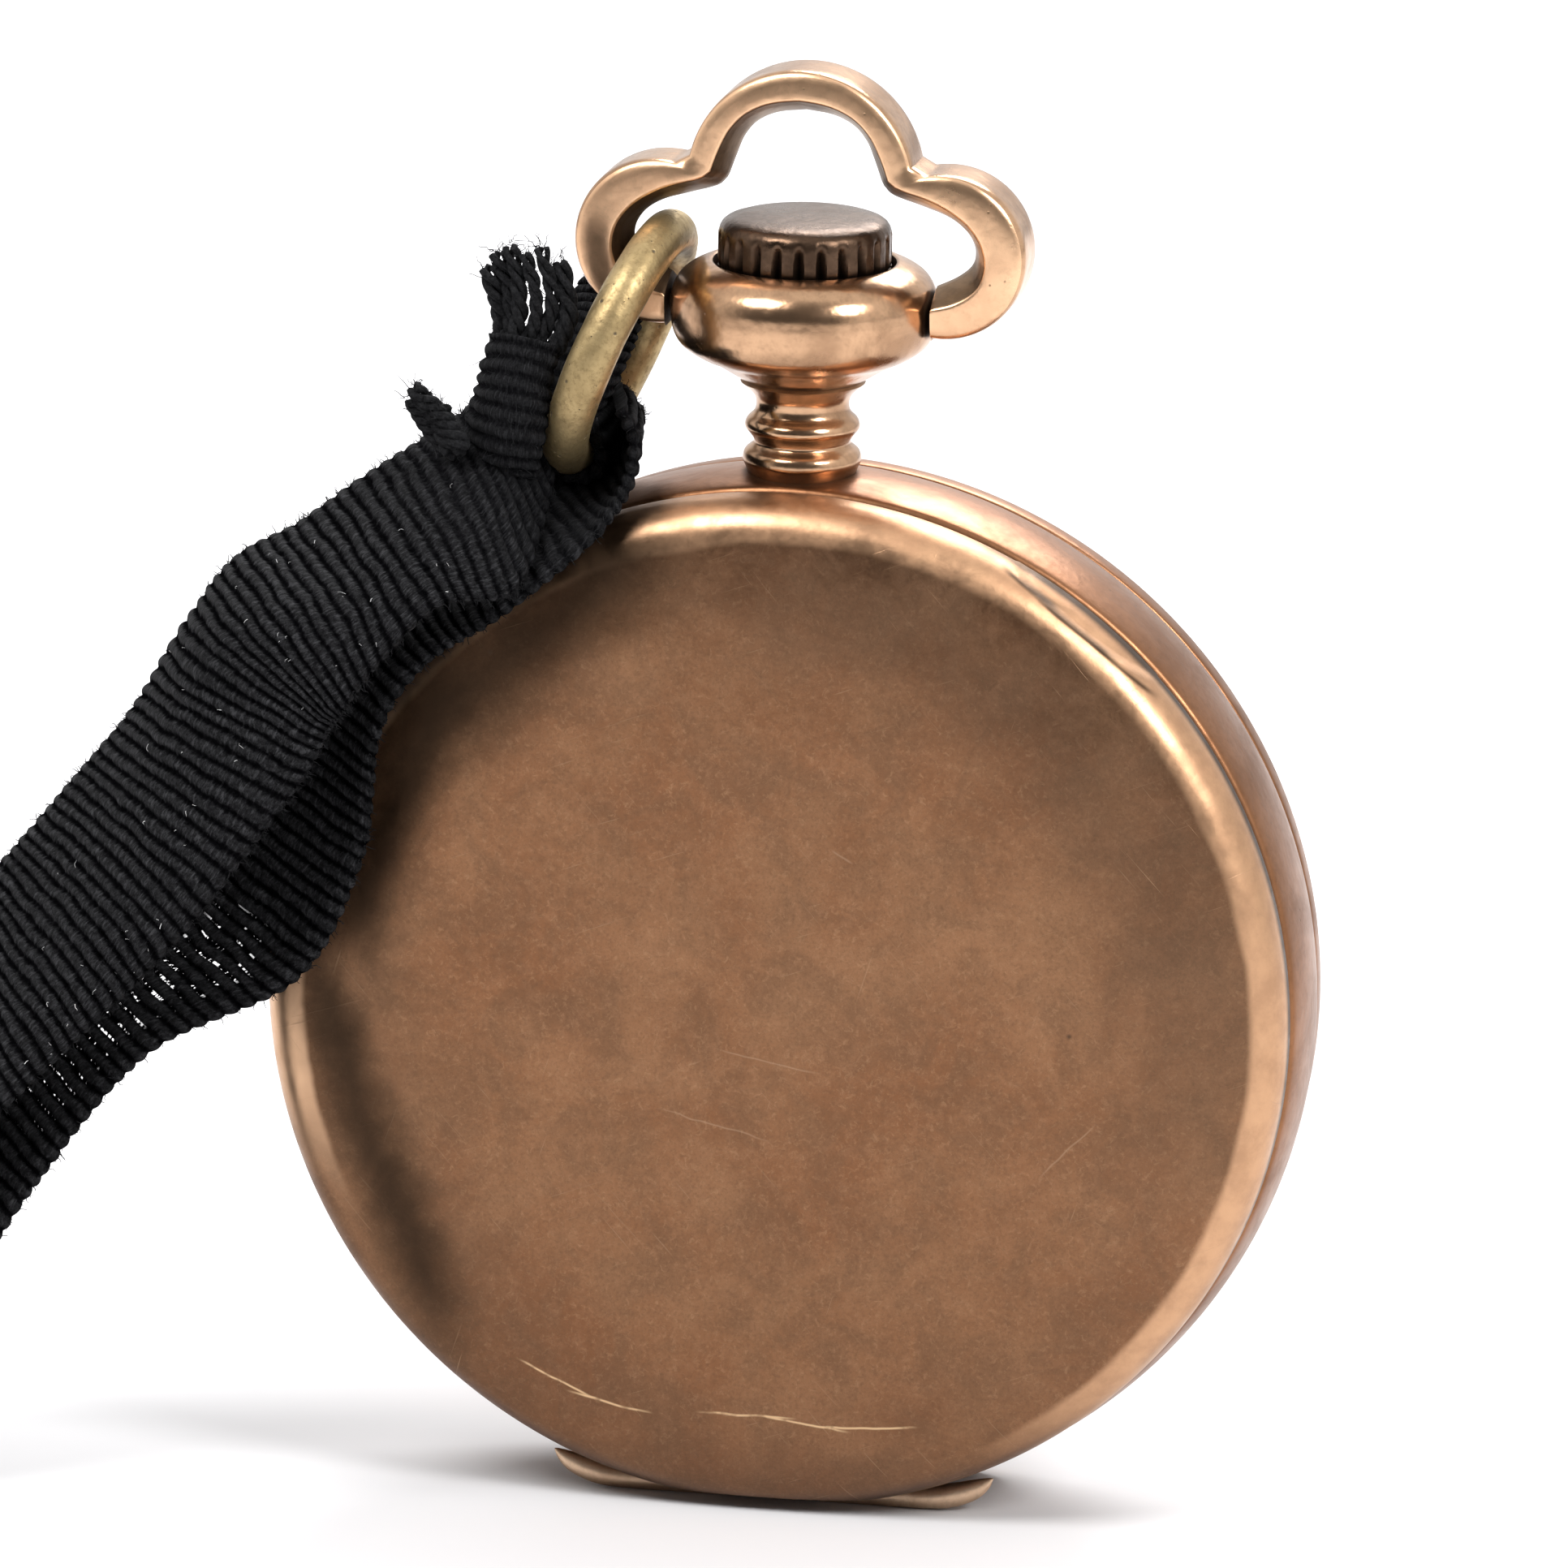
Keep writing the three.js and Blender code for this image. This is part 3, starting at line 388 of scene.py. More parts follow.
def lid_material():
    g = Graph("cloudy_rose_gold")
    x, y, z = g.split()
    radius = g.math("SQRT", g.plus(g.math("POWER", x, 2), g.math("POWER", z, 2)))
    cloud = g.noise(0.16, 5, 0.62, distortion=0.4)
    blotch = g.noise(0.5, 6, 0.7, distortion=0.6)
    grain = g.noise(2.2, 5, 0.7)
    fine = g.noise(9, 4, 0.7)
    g.tone = g.mix(g.span(cloud, 0.32, 0.68), (0.235, 0.108, 0.053), (0.300, 0.154, 0.080))
    g.over(g.span(blotch, 0.40, 0.66, 0, 0.55), (0.200, 0.110, 0.062))
    g.over(g.span(grain, 0.42, 0.70, 0, 0.34), (0.360, 0.190, 0.104))
    g.over(g.span(fine, 0.42, 0.72, 0, 0.42), (0.150, 0.080, 0.045))
    mottle = g.noise(5.0, 5, 0.75, distortion=0.8)
    g.over(g.span(mottle, 0.50, 0.72, 0, 0.40), (0.45, 0.26, 0.145))
    upper_right = g.span(g.plus(x, g.times(z, 0.9)), 4.0, 15.0)
    lower_left = g.span(g.plus(x, g.times(z, 0.35)), -14.5, -7.0, 1.0, 0.0)
    ring = g.span(radius, 9.5, 14.2)
    smoke = g.times(ring, g.math("MAXIMUM", upper_right, g.times(lower_left, 0.9), clamp=True))
    smoke = g.math("MAXIMUM", smoke, g.times(g.span(radius, 12.0, 15.0), 0.45))
    smoke = g.times(smoke, g.span(g.noise(0.35, 4, 0.6), 0.30, 0.62, 0.6, 1.0))
    g.over(g.times(smoke, 0.48), (0.090, 0.058, 0.038))
    edge = g.plus(radius, g.times(g.minus(g.noise(0.45, 3), 0.5), 0.35))
    edge = g.minus(edge, g.span(x, -9.0, 9.0, -0.25, 0.25))
    foot = g.plus(z, g.times(x, 0.35))
    worn = g.times(g.span(edge, 15.8, 16.1), g.span(foot, -13.0, -8.0))
    worn_tone = g.mix(g.span(g.noise(0.9, 5, 0.65), 0.35, 0.7), (0.56, 0.33, 0.190), (0.45, 0.26, 0.150))
    left = g.span(x, -13.5, -8.0, 1.0, 0.0)
    worn_tone = g.mix(left, worn_tone, (0.70, 0.44, 0.27))
    g.over(worn, worn_tone)
    # painted shade: the lid darkens towards the hinge at the bottom
    foot_shade = g.times(g.span(z, -16.6, -14.2, 1.0, 0.0), 0.45)
    g.over(foot_shade, (0.085, 0.052, 0.036))
    marks = scratches(g, 7.0, 0.35, 0.0)
    marks = g.math("MAXIMUM", marks, scratches(g, 5.0, 1.25, -0.02))
    marks = g.math("MAXIMUM", marks, scratches(g, 9.0, 2.3, 0.0))
    marks = g.times(marks, g.span(g.noise(0.3, 2), 0.38, 0.58))
    g.over(g.times(marks, 0.42), (0.40, 0.25, 0.15))
    for start, end, width in (
        ((-1.86, -1.18), (2.18, -1.86), 0.05),
        ((-3.75, -3.3), (0.56, -4.25), 0.045),
        ((9.2, -5.0), (11.35, -2.85), 0.05),
        ((2.2, 5.9), (3.0, 5.4), 0.06),
    ):
        g.over(g.times(g.near_line(start, end, width, 0.5), 0.5), (0.42, 0.27, 0.17))
    # painted shadow and reflection: the lid is darkened beside the ribbon
    for start, end, width in RIBBON_SHADE:
        g.over(g.times(g.near_line(start, end, width, 1.2), 0.86), (0.030, 0.019, 0.012))
    # painted shade: a thin dark line in the recess of the nail nick
    for start, end in NICK_SHADE_LINE:
        g.over(g.times(g.near_line(start, end, 0.09), 0.85), (0.040, 0.025, 0.016))
    # painted shade: a dark line on the rim at the right, standing for the gap between the lid and the band
    gap_shade = g.times(g.span(y, -3.2, -2.75), g.span(x, 5.0, 9.0))
    g.over(g.times(gap_shade, 0.92), (0.020, 0.012, 0.008))
    for start, end in WEAR_LINE:
        wear = g.times(g.near_line(start, end, 0.062, 0.30), g.span(g.noise(2.6, 2), 0.30, 0.55, 0.35, 1.0))
        g.over(wear, (0.78, 0.54, 0.31))
    pits = g.times(g.span(g.cells(0.42), 0.0, 0.06, 1.0, 0.0), g.span(g.noise(0.35, 1), 0.5, 0.56))
    g.over(g.times(pits, 0.75), (0.07, 0.045, 0.03))
    g.set("Base Color", g.tone)
    rough = g.span(g.plus(blotch, g.times(grain, 0.3)), 0.45, 0.85, 0.34, 0.50)
    rough = g.minus(rough, g.times(worn, 0.04))
    g.set("Roughness", g.plus(rough, g.times(smoke, 0.03)))
    wave = g.bump(g.noise(0.11, 2, 0.5), 0.35)
    wave = g.bump(g.noise(0.55, 3, 0.55), 0.035, after=wave)
    g.bump(g.plus(fine, g.times(marks, 0.6)), 0.0035, after=wave)
    return g.material


def polished_gold(name, light, deep, grime_and_shade_amount, rough=0.17):
    g = Graph(name)
    patch = g.noise(0.45, 5, 0.65, distortion=0.5)
    grain = g.noise(3.0, 5, 0.7)
    g.tone = g.mix(g.span(patch, 0.34, 0.68), light, deep)
    g.over(g.span(grain, 0.46, 0.74, 0, 0.35), tuple(0.62 * c for c in deep))
    # grime and painted shade: the colour darkens where ambient occlusion finds recesses
    recess = g.add("AmbientOcclusion", samples=6)
    recess.inputs["Distance"].default_value = 0.0011
    shade = g.plus(recess.outputs["AO"], g.times(g.minus(patch, 0.5), 0.5))
    grime_and_shade = g.span(shade, 0.28, 0.72, grime_and_shade_amount, 0.0)
    g.over(grime_and_shade, (0.060, 0.034, 0.020))
    specks = g.times(g.span(g.cells(1.7), 0.0, 0.10, 1.0, 0.0), g.span(g.noise(0.8, 1), 0.52, 0.6))
    g.over(g.times(specks, 0.7), (0.07, 0.04, 0.025))
    g.set("Base Color", g.tone)
    g.set("Roughness", g.plus(g.span(patch, 0.3, 0.75, rough, rough + 0.12), g.times(grime_and_shade, 0.35)))
    wave = g.bump(g.noise(0.5, 3), 0.05)
    g.bump(g.plus(grain, g.times(specks, -1.2)), 0.006, after=wave)
    return g.material


def pitted_brass():
    g = Graph("olive_brass_wire")
    patch = g.noise(0.7, 5, 0.65, distortion=0.7)
    grain = g.noise(4.5, 5, 0.7)
    g.tone = g.mix(g.span(patch, 0.34, 0.68), (0.45, 0.335, 0.168), (0.33, 0.240, 0.116))
    g.over(g.span(grain, 0.44, 0.72, 0, 0.5), (0.145, 0.098, 0.044))
    pits = g.times(g.span(g.cells(1.5), 0.02, 0.15, 1.0, 0.0), g.span(g.noise(0.7, 2), 0.38, 0.46))
    small = g.times(g.span(g.cells(4.2), 0.02, 0.16, 1.0, 0.0), g.span(g.noise(1.6, 2), 0.50, 0.58))
    pits = g.math("MAXIMUM", pits, small)
    g.over(g.times(pits, 0.88), (0.030, 0.020, 0.012))
    g.set("Base Color", g.tone)
    g.set("Metallic", g.minus(0.92, g.times(pits, 0.7)))
    g.set("Roughness", g.span(g.plus(grain, g.times(pits, 0.4)), 0.35, 0.9, 0.42, 0.66))
    wave = g.bump(g.noise(0.9, 4), 0.06)
    g.bump(g.minus(g.times(grain, 0.4), pits), 0.03, after=wave)
    return g.material


def worn_brass():
    g = Graph("worn_crown_brass")
    patch = g.noise(0.8, 5, 0.65)
    grain = g.noise(5.0, 5, 0.7)
    g.tone = g.mix(g.span(patch, 0.34, 0.68), (0.115, 0.070, 0.045), (0.070, 0.043, 0.028))
    g.over(g.span(grain, 0.44, 0.74, 0, 0.45), (0.042, 0.028, 0.020))
    # grime and painted shade: the flutes darken where ambient occlusion finds recesses
    recess = g.add("AmbientOcclusion", samples=6)
    recess.inputs["Distance"].default_value = 0.0006
    occluded_shade = g.plus(recess.outputs["AO"], g.times(g.minus(patch, 0.5), 0.3))
    grime_and_shade = g.span(occluded_shade, 0.35, 0.85, 0.96, 0.0)
    g.over(grime_and_shade, (0.010, 0.007, 0.005))
    g.set("Base Color", g.tone)
    g.set("Roughness", g.plus(g.span(patch, 0.3, 0.75, 0.24, 0.42), g.times(grime_and_shade, 0.3)))
    wave = g.bump(g.noise(0.9, 3), 0.05)
    g.bump(grain, 0.012, after=wave)
    return g.material


def plain_metal(name, tone, roughness, grain_tone, stripes=0.0, turned=0.0):
    """A movement metal; stripes are broad polished bands, turned is fine concentric graining."""
    g = Graph(name)
    grain = g.noise(6.0, 4, 0.6)
    colour = g.mix(g.span(grain, 0.35, 0.75), tone, grain_tone)
    wave = g.bump(grain, 0.004)
    if stripes:
        parts = g.split()
        slant = g.plus(parts[0], g.times(parts[2], 0.4))
        band = g.math("ABSOLUTE", g.math("SINE", g.times(slant, math.pi / stripes)))
        colour = g.mix(g.times(band, 0.35), colour, tuple(0.6 * c for c in tone))
        wave = g.bump(band, 0.02, after=wave)
    if turned:
        g.bump(g.noise(turned, 2, vector=g.stretch(1, 0.1, 1)), 0.004, after=wave)
    g.set("Base Color", colour)
    g.set("Roughness", g.span(grain, 0.3, 0.8, roughness, roughness + 0.12))
    return g.material


def plain_gloss(name, tone, second, roughness, **extra):
    g = Graph(name, metallic=0.0, roughness=roughness)
    g.set("Base Color", g.mix(g.span(g.noise(0.6, 4), 0.3, 0.75), tone, second))
    g.bump(g.noise(1.2, 3), 0.01)
    for key, value in extra.items():
        g.set(key.replace("_", " "), value)
    return g.material


def ribbon_material(name, ribbed):
    """Dyed black rayon; the ribbed cloth has painted shade in its grooves and around the knot, and is opened
    to pin holes where it is stretched.
    """
    g = Graph(name, metallic=0.0, roughness=0.80)
    uv = g.add("TexCoord").outputs["UV"]
    yarn = g.noise(1.0, 3, 0.75, vector=g.vector("MULTIPLY", uv, (6.5, 2.2, 1.0)))
    cloth = g.noise(7.0, 4, 0.8)
    g.tone = g.mix(g.span(cloth, 0.34, 0.70), (0.0030, 0.0030, 0.0034), (0.0170, 0.0170, 0.0182))
    g.over(g.span(yarn, 0.46, 0.74, 0, 0.7), (0.058, 0.058, 0.062))
    lint = g.times(g.span(g.cells(3.4), 0.0, 0.05, 1.0, 0.0), g.span(g.noise(0.9, 2), 0.54, 0.62))
    g.over(g.times(lint, 0.5), (0.55, 0.55, 0.55))
    g.set("Specular IOR Level", 0.08)
    g.bump(g.plus(yarn, cloth), 0.06)
    if ribbed:
        across, along, _ = g.split(uv)
        phase = g.math("FRACT", g.plus(g.math("DIVIDE", along, RIB_PITCH), 0.5))
        from_ridge = g.math("ABSOLUTE", g.minus(phase, 0.5))
        wavy_ridge_distance = g.plus(from_ridge, g.times(g.minus(g.noise(3.2, 3, 0.7), 0.5), 0.55))
        in_knot = g.span(g.distance(KNOT_AT), 3.0, 6.5, 0.35, 0.88)
        # painted shade: the colour darkens in the valleys between the ribs, less so in the knot
        groove_shade = g.times(g.span(wavy_ridge_distance, 0.19, 0.46), in_knot)
        # painted shade: the cloth darkens around the knot
        g.over(g.span(g.distance(KNOT_AT), 2.0, 7.0, 0.45, 0.0), (0.0040, 0.0040, 0.0045))
        g.over(groove_shade, (0.0006, 0.0006, 0.0008))
        g.set("Specular IOR Level", g.span(wavy_ridge_distance, 0.10, 0.38, 0.065, 0.0))
        dots = g.span(g.noise(1.0, 2, 0.6, g.vector("MULTIPLY", uv, (4.2, 1.9, 1.0))), 0.50, 0.55)
        width = g.span(across, 0.2, 1.4)
        edge = g.span(across, 3.6, 4.2, 1.0, 0.0)
        reach = g.span(g.distance(STRETCHED_AT), 3.6, 6.0, 1.0, 0.0)
        hole = g.times(g.span(from_ridge, 0.36, 0.43), g.times(dots, reach))
        g.set("Alpha", g.minus(1.0, g.times(hole, g.times(width, edge))))
    g.set("Base Color", g.tone)
    return g.material


LID = lid_material()
ROSE = polished_gold("polished_rose_gold", (0.60, 0.37, 0.220), (0.38, 0.225, 0.132), 0.97)
BOW_GOLD = polished_gold("pale_bow_gold", (0.86, 0.545, 0.330), (0.76, 0.465, 0.280), 0.94, 0.27)
# a darker copy of the bow's gold: grime and painted shade on its inner faces
BOW_INNER = polished_gold("grimy_shaded_bow_inside", (0.26, 0.165, 0.095), (0.15, 0.095, 0.056), 0.96, 0.34)
BAND = polished_gold("rubbed_rose_gold", (0.29, 0.135, 0.066), (0.21, 0.097, 0.047), 0.8, 0.30)
CROWN_METAL = worn_brass()
FIN_METAL = polished_gold("worn_hinge_brass", (0.86, 0.62, 0.43), (0.66, 0.45, 0.30), 0.40, 0.36)
WIRE = pitted_brass()
GILT = plain_metal("gilt_movement", (0.72, 0.50, 0.22), 0.26, (0.60, 0.40, 0.17), turned=9.0)
NICKEL = plain_metal("striped_nickel", (0.66, 0.65, 0.61), 0.22, (0.56, 0.55, 0.52), stripes=1.3)
STEEL = plain_metal("polished_steel", (0.56, 0.57, 0.58), 0.18, (0.46, 0.47, 0.48))
BLUED = plain_metal("blued_steel", (0.020, 0.050, 0.190), 0.2, (0.012, 0.030, 0.120))
ENAMEL = plain_gloss("white_enamel", (0.86, 0.85, 0.81), (0.81, 0.80, 0.75), 0.12, Coat_Weight=0.5)
INK = plain_gloss("dial_ink", (0.010, 0.010, 0.012), (0.020, 0.020, 0.022), 0.3)
RUBY = plain_gloss("ruby_jewel", (0.40, 0.010, 0.050), (0.30, 0.006, 0.035), 0.08)
GLASS = plain_gloss("crystal_glass", (0.97, 0.98, 0.98), (0.95, 0.97, 0.97), 0.02, Transmission_Weight=1.0)
CLOTH = ribbon_material("black_grosgrain", True)
THREAD = ribbon_material("black_thread", False)
LINT = plain_gloss("white_lint", (0.62, 0.62, 0.62), (0.42, 0.42, 0.42), 0.7)

BY_SLOT = {"gilt": GILT, "nickel": NICKEL, "steel": STEEL, "blued_steel": BLUED, "ruby": RUBY}


def paint(node, material):
    materials = bpy.data.objects[node].data.materials
    materials.clear()
    materials.append(material)


for part in frame["record"]["subparts"]:
    if part["material_slot"] in BY_SLOT:
        paint(part["node"], BY_SLOT[part["material_slot"]])


# ---------- case band
BAND_HALF = [
    (17.5, 0), (17.485, 0.5), (17.44, 1.05), (17.36, 1.55),
    (17.27, 1.92), (17.18, 2.08), (17.0, 2.17), (16.7, 2.26),
]
BAND_INNER = [
    (16.6, 2.3), (15.4, 2.3), (15.4, 0.95), (14.95, 0.95),
    (14.95, -1.0), (15.4, -1.0), (15.4, -2.3), (16.6, -2.3),
]


def case_band():
    outer = flat_spline([(r, -y) for r, y in reversed(BAND_HALF[1:])] + BAND_HALF, 3)
    profile = [tuple(p[:2]) for p in subdivide([*outer, *BAND_INNER, outer[0]], 0.22)][:-1]
    verts, faces = revolve(profile, 512)
    shaped = []
    for x, y, z in verts:
        if abs(x) < FLAT_HALF:
            z = max(z, FLAT_Z)
        shaped.append(from_hinge(from_hinge((x, y, z), -1), 1))
    make_piece("visual_case_band", shaped, faces, "case", BAND, ["case_band"])


# ---------- covers
LID_OUTER = [
    (17.02, 2.36), (17.16, 2.44), (17.2, 2.64), (17.19, 3.0), (17.14, 3.36), (17.0, 3.74),
    (16.78, 4.06), (16.48, 4.31), (16.1, 4.47), (15.6, 4.59), (14.4, 4.77), (12.6, 4.94),
    (9.0, 5.06), (5.0, 5.1), (2.0, 5.1), (0.0, 5.1),
]
LID_INNER = [(0.0, 4.7), (8.0, 4.66), (12.0, 4.5), (14.7, 4.05), (16.1, 3.3), (16.6, 2.36)]


def cover(name, side, body, material, nick):
    profile = [*flat_spline(LID_OUTER, 6), *flat_spline(LID_INNER, 3)]
    verts, faces = revolve([(r, side * y) for r, y in profile], 720 if nick else 384)
    shaped = []
    for x, y, z in verts:
        if abs(x) < FLAT_HALF:
            z = max(z, HINGE_Z + 0.05)
        if abs(x) > TUBE_START:
            x, y, z = from_hinge((x, y, z), side)
        if nick:
            x, y, z = nail_nick(x, y, z)
        shaped.append((x, y, z))
    reach = (-KNUCKLE_HALF, -1.44, 1.44, KNUCKLE_HALF)
    rod = tube([Vector((x, side * HINGE_Y, HINGE_Z)) for x in reach], KNUCKLE_R, 32)
    add_part(shaped, faces, rod)
    make_piece(name, shaped, faces, body, material, [body])


NICK_ANGLE, NICK_HALF, NICK_REACH, NICK_SINK = 53.3, 10.8, 0.46, 0.42


def nail_nick(x, y, z):
    """The crescent cut into the rim at the upper right, where a thumbnail lifts the cover."""
    r, angle = math.hypot(x, z), math.degrees(math.atan2(z, x))
    if not (42 < angle < 67 and r > 16.2 and y < -2.5):
        return (x, y, z)
    curve = 1 - ((angle - NICK_ANGLE) / NICK_HALF) ** 2
    edge = 17.28 - NICK_REACH * max(curve, 0) ** 0.8
    depth = min(1.0, max(0.0, (r - edge) / 0.07))
    return (x, min(y + NICK_SINK * depth, -2.45), z)


# ---------- hinge fins
FIN_TOP = [(1.6, -16.38), (5.0, -16.42), (6.1, -16.28), (6.9, -16.1), (7.3, -16.03), (7.45, -16.03)]
FIN_LOW = [(1.6, -17.22), (5.0, -17.22), (6.1, -17.12), (6.9, -16.8), (7.3, -16.42), (7.45, -16.1)]
FIN_WIDE = [(1.6, 0.42), (5.0, 0.42), (6.1, 0.36), (6.9, 0.24), (7.3, 0.12), (7.45, 0.03)]


def hinge_fin(name, side, hand):
    top, low, wide = (flat_spline(line, 6) for line in (FIN_TOP, FIN_LOW, FIN_WIDE))
    verts, sides = [], 24
    for (x, z1), (_, z0), (_, half) in zip(top, low, wide):
        for k in range(sides):
            turn = 2 * math.pi * k / sides
            z = (z0 + z1) / 2 + (z1 - z0) / 2 * math.sin(turn)
            verts.append((hand * x, side * HINGE_Y + half * math.cos(turn), z))
    faces = grid_faces(len(top), sides, flip=(hand > 0))
    faces += [tuple(range(sides)), tuple(len(verts) - 1 - k for k in range(sides))]
    make_piece(f"visual_{name}", verts, faces, "case", FIN_METAL, [name])


case_band()
cover("visual_back_cover", -1, "back_cover", LID, True)
cover("visual_front_cover", 1, "front_cover", BAND, False)
for title, side in (("back", -1), ("front", 1)):
    hinge_fin(f"{title}_hinge_tube_left", side, -1)
    hinge_fin(f"{title}_hinge_tube_right", side, 1)

CUVETTE_BACK = [(15.9, -2.4), (15.9, -2.95), (15.5, -3.35), (14.5, -3.5), (0, -3.55)]
CUVETTE_FRONT = [(0, -3.25), (14.4, -3.2), (15.3, -3.0), (15.55, -2.4)]
CUVETTE_HINGE_Z = -15.72


def cuvette():
    verts, faces = revolve([*flat_spline(CUVETTE_BACK, 8), *flat_spline(CUVETTE_FRONT, 6)], 256)
    verts = [(x, y, max(z, CUVETTE_HINGE_Z + 0.03) if abs(x) < 4 else z) for x, y, z in verts]
    add_part(verts, faces, tube([Vector((x, -2.76, CUVETTE_HINGE_Z)) for x in (-2.4, 2.4)], 0.26, 20))
    make_piece("visual_cuvette", verts, faces, "cuvette", GILT, ["cuvette"])


cuvette()

# ---------- bezel, crystal and dial
BEZEL_OUTER = flat_spline([(16.3, 2.36), (16.3, 2.75), (15.7, 3.25), (14.6, 3.48), (13.5, 3.4)], 8)
verts, faces = revolve([*BEZEL_OUTER, (13.5, 2.78), (14.25, 2.78), (14.25, 2.36)], 256)
make_piece("visual_bezel", verts, faces, "case", ROSE, ["bezel"])
GLASS_OUTER = flat_spline([(13.4, 3.2), (7, 3.78), (0, 3.9)], 8)
GLASS_INNER = flat_spline([(0, 3.5), (7, 3.38), (13.4, 2.85)], 8)
verts, faces = revolve([*GLASS_OUTER, *GLASS_INNER], 192)
make_piece("visual_crystal", verts, faces, "case", GLASS, ["crystal"])
paint("dial", ENAMEL)

DIAL_FACE_Y, SECONDS_X, NUMERAL_R = 2.204, -7.3, 10.6


def dial_marks():
    """Hour numerals, the minute track and the small seconds track, as thin raised ink."""
    verts, faces = [], []

    def bar(centre, angle, r0, r1, half):
        """A radial bar; angles run clockwise from twelve, which is towards +X."""
        turn = math.radians(angle)
        out = Vector((math.cos(turn), 0, math.sin(turn)))
        side = Vector((-math.sin(turn), 0, math.cos(turn))) * half
        corners = [out * r0 - side, out * r1 - side, out * r1 + side, out * r0 + side]
        add_part(verts, faces, ([tuple(centre + c) for c in corners], [(0, 1, 2, 3)]))

    middle, seconds = Vector((0, DIAL_FACE_Y, 0)), Vector((SECONDS_X, DIAL_FACE_Y, 0))
    for minute in range(60):
        hour = minute % 5 == 0
        bar(middle, minute * 6, 12.45, 13.05, 0.10 if hour else 0.045)
        bar(seconds, minute * 6, 2.35, 2.6 if minute % 5 else 2.8, 0.03)
    for centre, radii in ((middle, (12.4, 13.1)), (seconds, (2.3, 2.85))):
        for r in radii:
            for k in range(90):
                bar(centre, k * 4, r - 0.025, r + 0.025, r * math.tan(math.radians(2.05)))
    for hour in range(1, 13):
        if hour == 6:
            continue
        curve = bpy.data.curves.new("numeral", "FONT")
        curve.body, curve.size = str(hour), 3.1
        curve.align_x, curve.align_y = "CENTER", "CENTER"
        text = add_object("numeral", curve)
        bpy.context.view_layer.update()
        flat = bpy.data.meshes.new_from_object(text)
        turn = math.radians(hour * 30)
        x, z = NUMERAL_R * math.cos(turn), NUMERAL_R * math.sin(turn)
        points = [(x + p.co.y, DIAL_FACE_Y, z + 0.85 * p.co.x) for p in flat.vertices]
        add_part(verts, faces, (points, [tuple(p.vertices) for p in flat.polygons]))
        bpy.data.objects.remove(text)
        bpy.data.meshes.remove(flat)
        bpy.data.curves.remove(curve)
    make_piece("dial_marks", verts, faces, "case", INK)


dial_marks()

# ---------- pendant and crown
NECK = [
    (1.78, 17.3), (1.86, 17.55), (1.965, 17.8), (1.9, 18.08), (1.68, 18.28), (1.6, 18.42), (1.7, 18.62),
    (1.9, 18.9), (1.84, 19.15), (1.62, 19.38), (1.54, 19.62), (1.58, 19.9), (1.76, 20.15), (2.07, 20.42),
]
BOWL = [
    (2.0, 20.52), (2.35, 20.72), (3.07, 21.16), (3.6, 21.4), (4.09, 21.75), (4.33, 22.2), (4.41, 22.75),
    (4.41, 23.1), (4.36, 23.5), (4.15, 23.92), (3.8, 24.22), (3.34, 24.44), (3.12, 24.5),
]
CUP = [(3.04, 24.47), (3.0, 24.35), (3.0, 23.3), (0.95, 23.3), (0.95, 17.3)]
verts, faces = revolve([*flat_spline(NECK, 4), *flat_spline(BOWL, 5), *CUP], 192, upright=True)
make_piece("visual_pendant", verts, faces, "case", ROSE, ["pendant"])


# Height, step back from the outside and share of the flute's full depth, row by row.
CROWN_ROWS = [
    (CROWN_FOOT_Z, 0.0, 1.0), (24.36, 0.03, 1.0), (24.6, 0.0, 1.0), (24.9, 0.0, 1.0),
    (25.15, 0.0, 0.95), (25.3, 0.0, 0.7), (25.42, 0.0, 0.35), (25.52, 0.02, 0.12),
    (25.64, 0.06, 0.0), (25.75, 0.13, 0.0), (25.85, 0.26, 0.0), (25.93, 0.5, 0.0),
    (25.98, 0.85, 0.0), (26.02, 1.4, 0.0), (26.045, 2.1, 0.0), (26.05, CROWN_R, 0.0),
]


def crown():
    flutes, steps = 24, 16
    verts = [(0.0, 0.0, CROWN_FOOT_Z + 0.001)] * (flutes * steps)
    for z, back, cut in CROWN_ROWS:
        for k in range(flutes * steps):
            turn = 2 * math.pi * k / (flutes * steps)
            ridge = abs(math.cos(flutes * turn / 2))
            groove_shade = 1 - min(1.0, ridge / 0.62)
            r = CROWN_R - back - 0.24 * cut * groove_shade**0.6
            verts.append((r * math.cos(turn), r * math.sin(turn), z))
    faces = grid_faces(len(CROWN_ROWS) + 1, flutes * steps)
    make_piece("visual_crown", verts, faces, "crown", CROWN_METAL, ["crown"], 50)


crown()


# ---------- bow
def arc(centre, radius, start, end, steps):
    angles = [math.radians(start + (end - start) * k / steps) for k in range(steps + 1)]
    return [(centre[0] + radius * math.cos(a), centre[1] + radius * math.sin(a)) for a in angles]


BOW_TOP_INNER = [(0, 29.56), (0.95, 29.42), (1.62, 29.1), (2.05, 28.6), (2.3, 28), (2.55, 27.3)]
BOW_SIDE_INNER = [
    (2.62, 27.15), (2.95, 26.85), (3.9, 26.55), (4.75, 26.28), (5.35, 25.9),
    (5.68, 25.4), (5.72, 24.9), (5.55, 24.55), (5.1, 24.2), (4.46, 23.88),
]
# Half of the bow's section, from the middle of its outer face to the middle of its inner face:
# the share of the way out from the inner outline, and the half thickness there.
BOW_SECTION = [
    (1.0, 0.0), (1.0, 0.4), (1.0, 0.75), (0.99, 0.93), (0.955, 1.05), (0.89, 1.13),
    (0.72, 1.19), (0.54, 1.23), (0.42, 1.25), (0.385, 1.245), (0.35, 1.21), (0.32, 1.12),
    (0.235, 0.90), (0.205, 0.82), (0.12, 0.52), (0.04, 0.24), (0.0, 0.0),
]


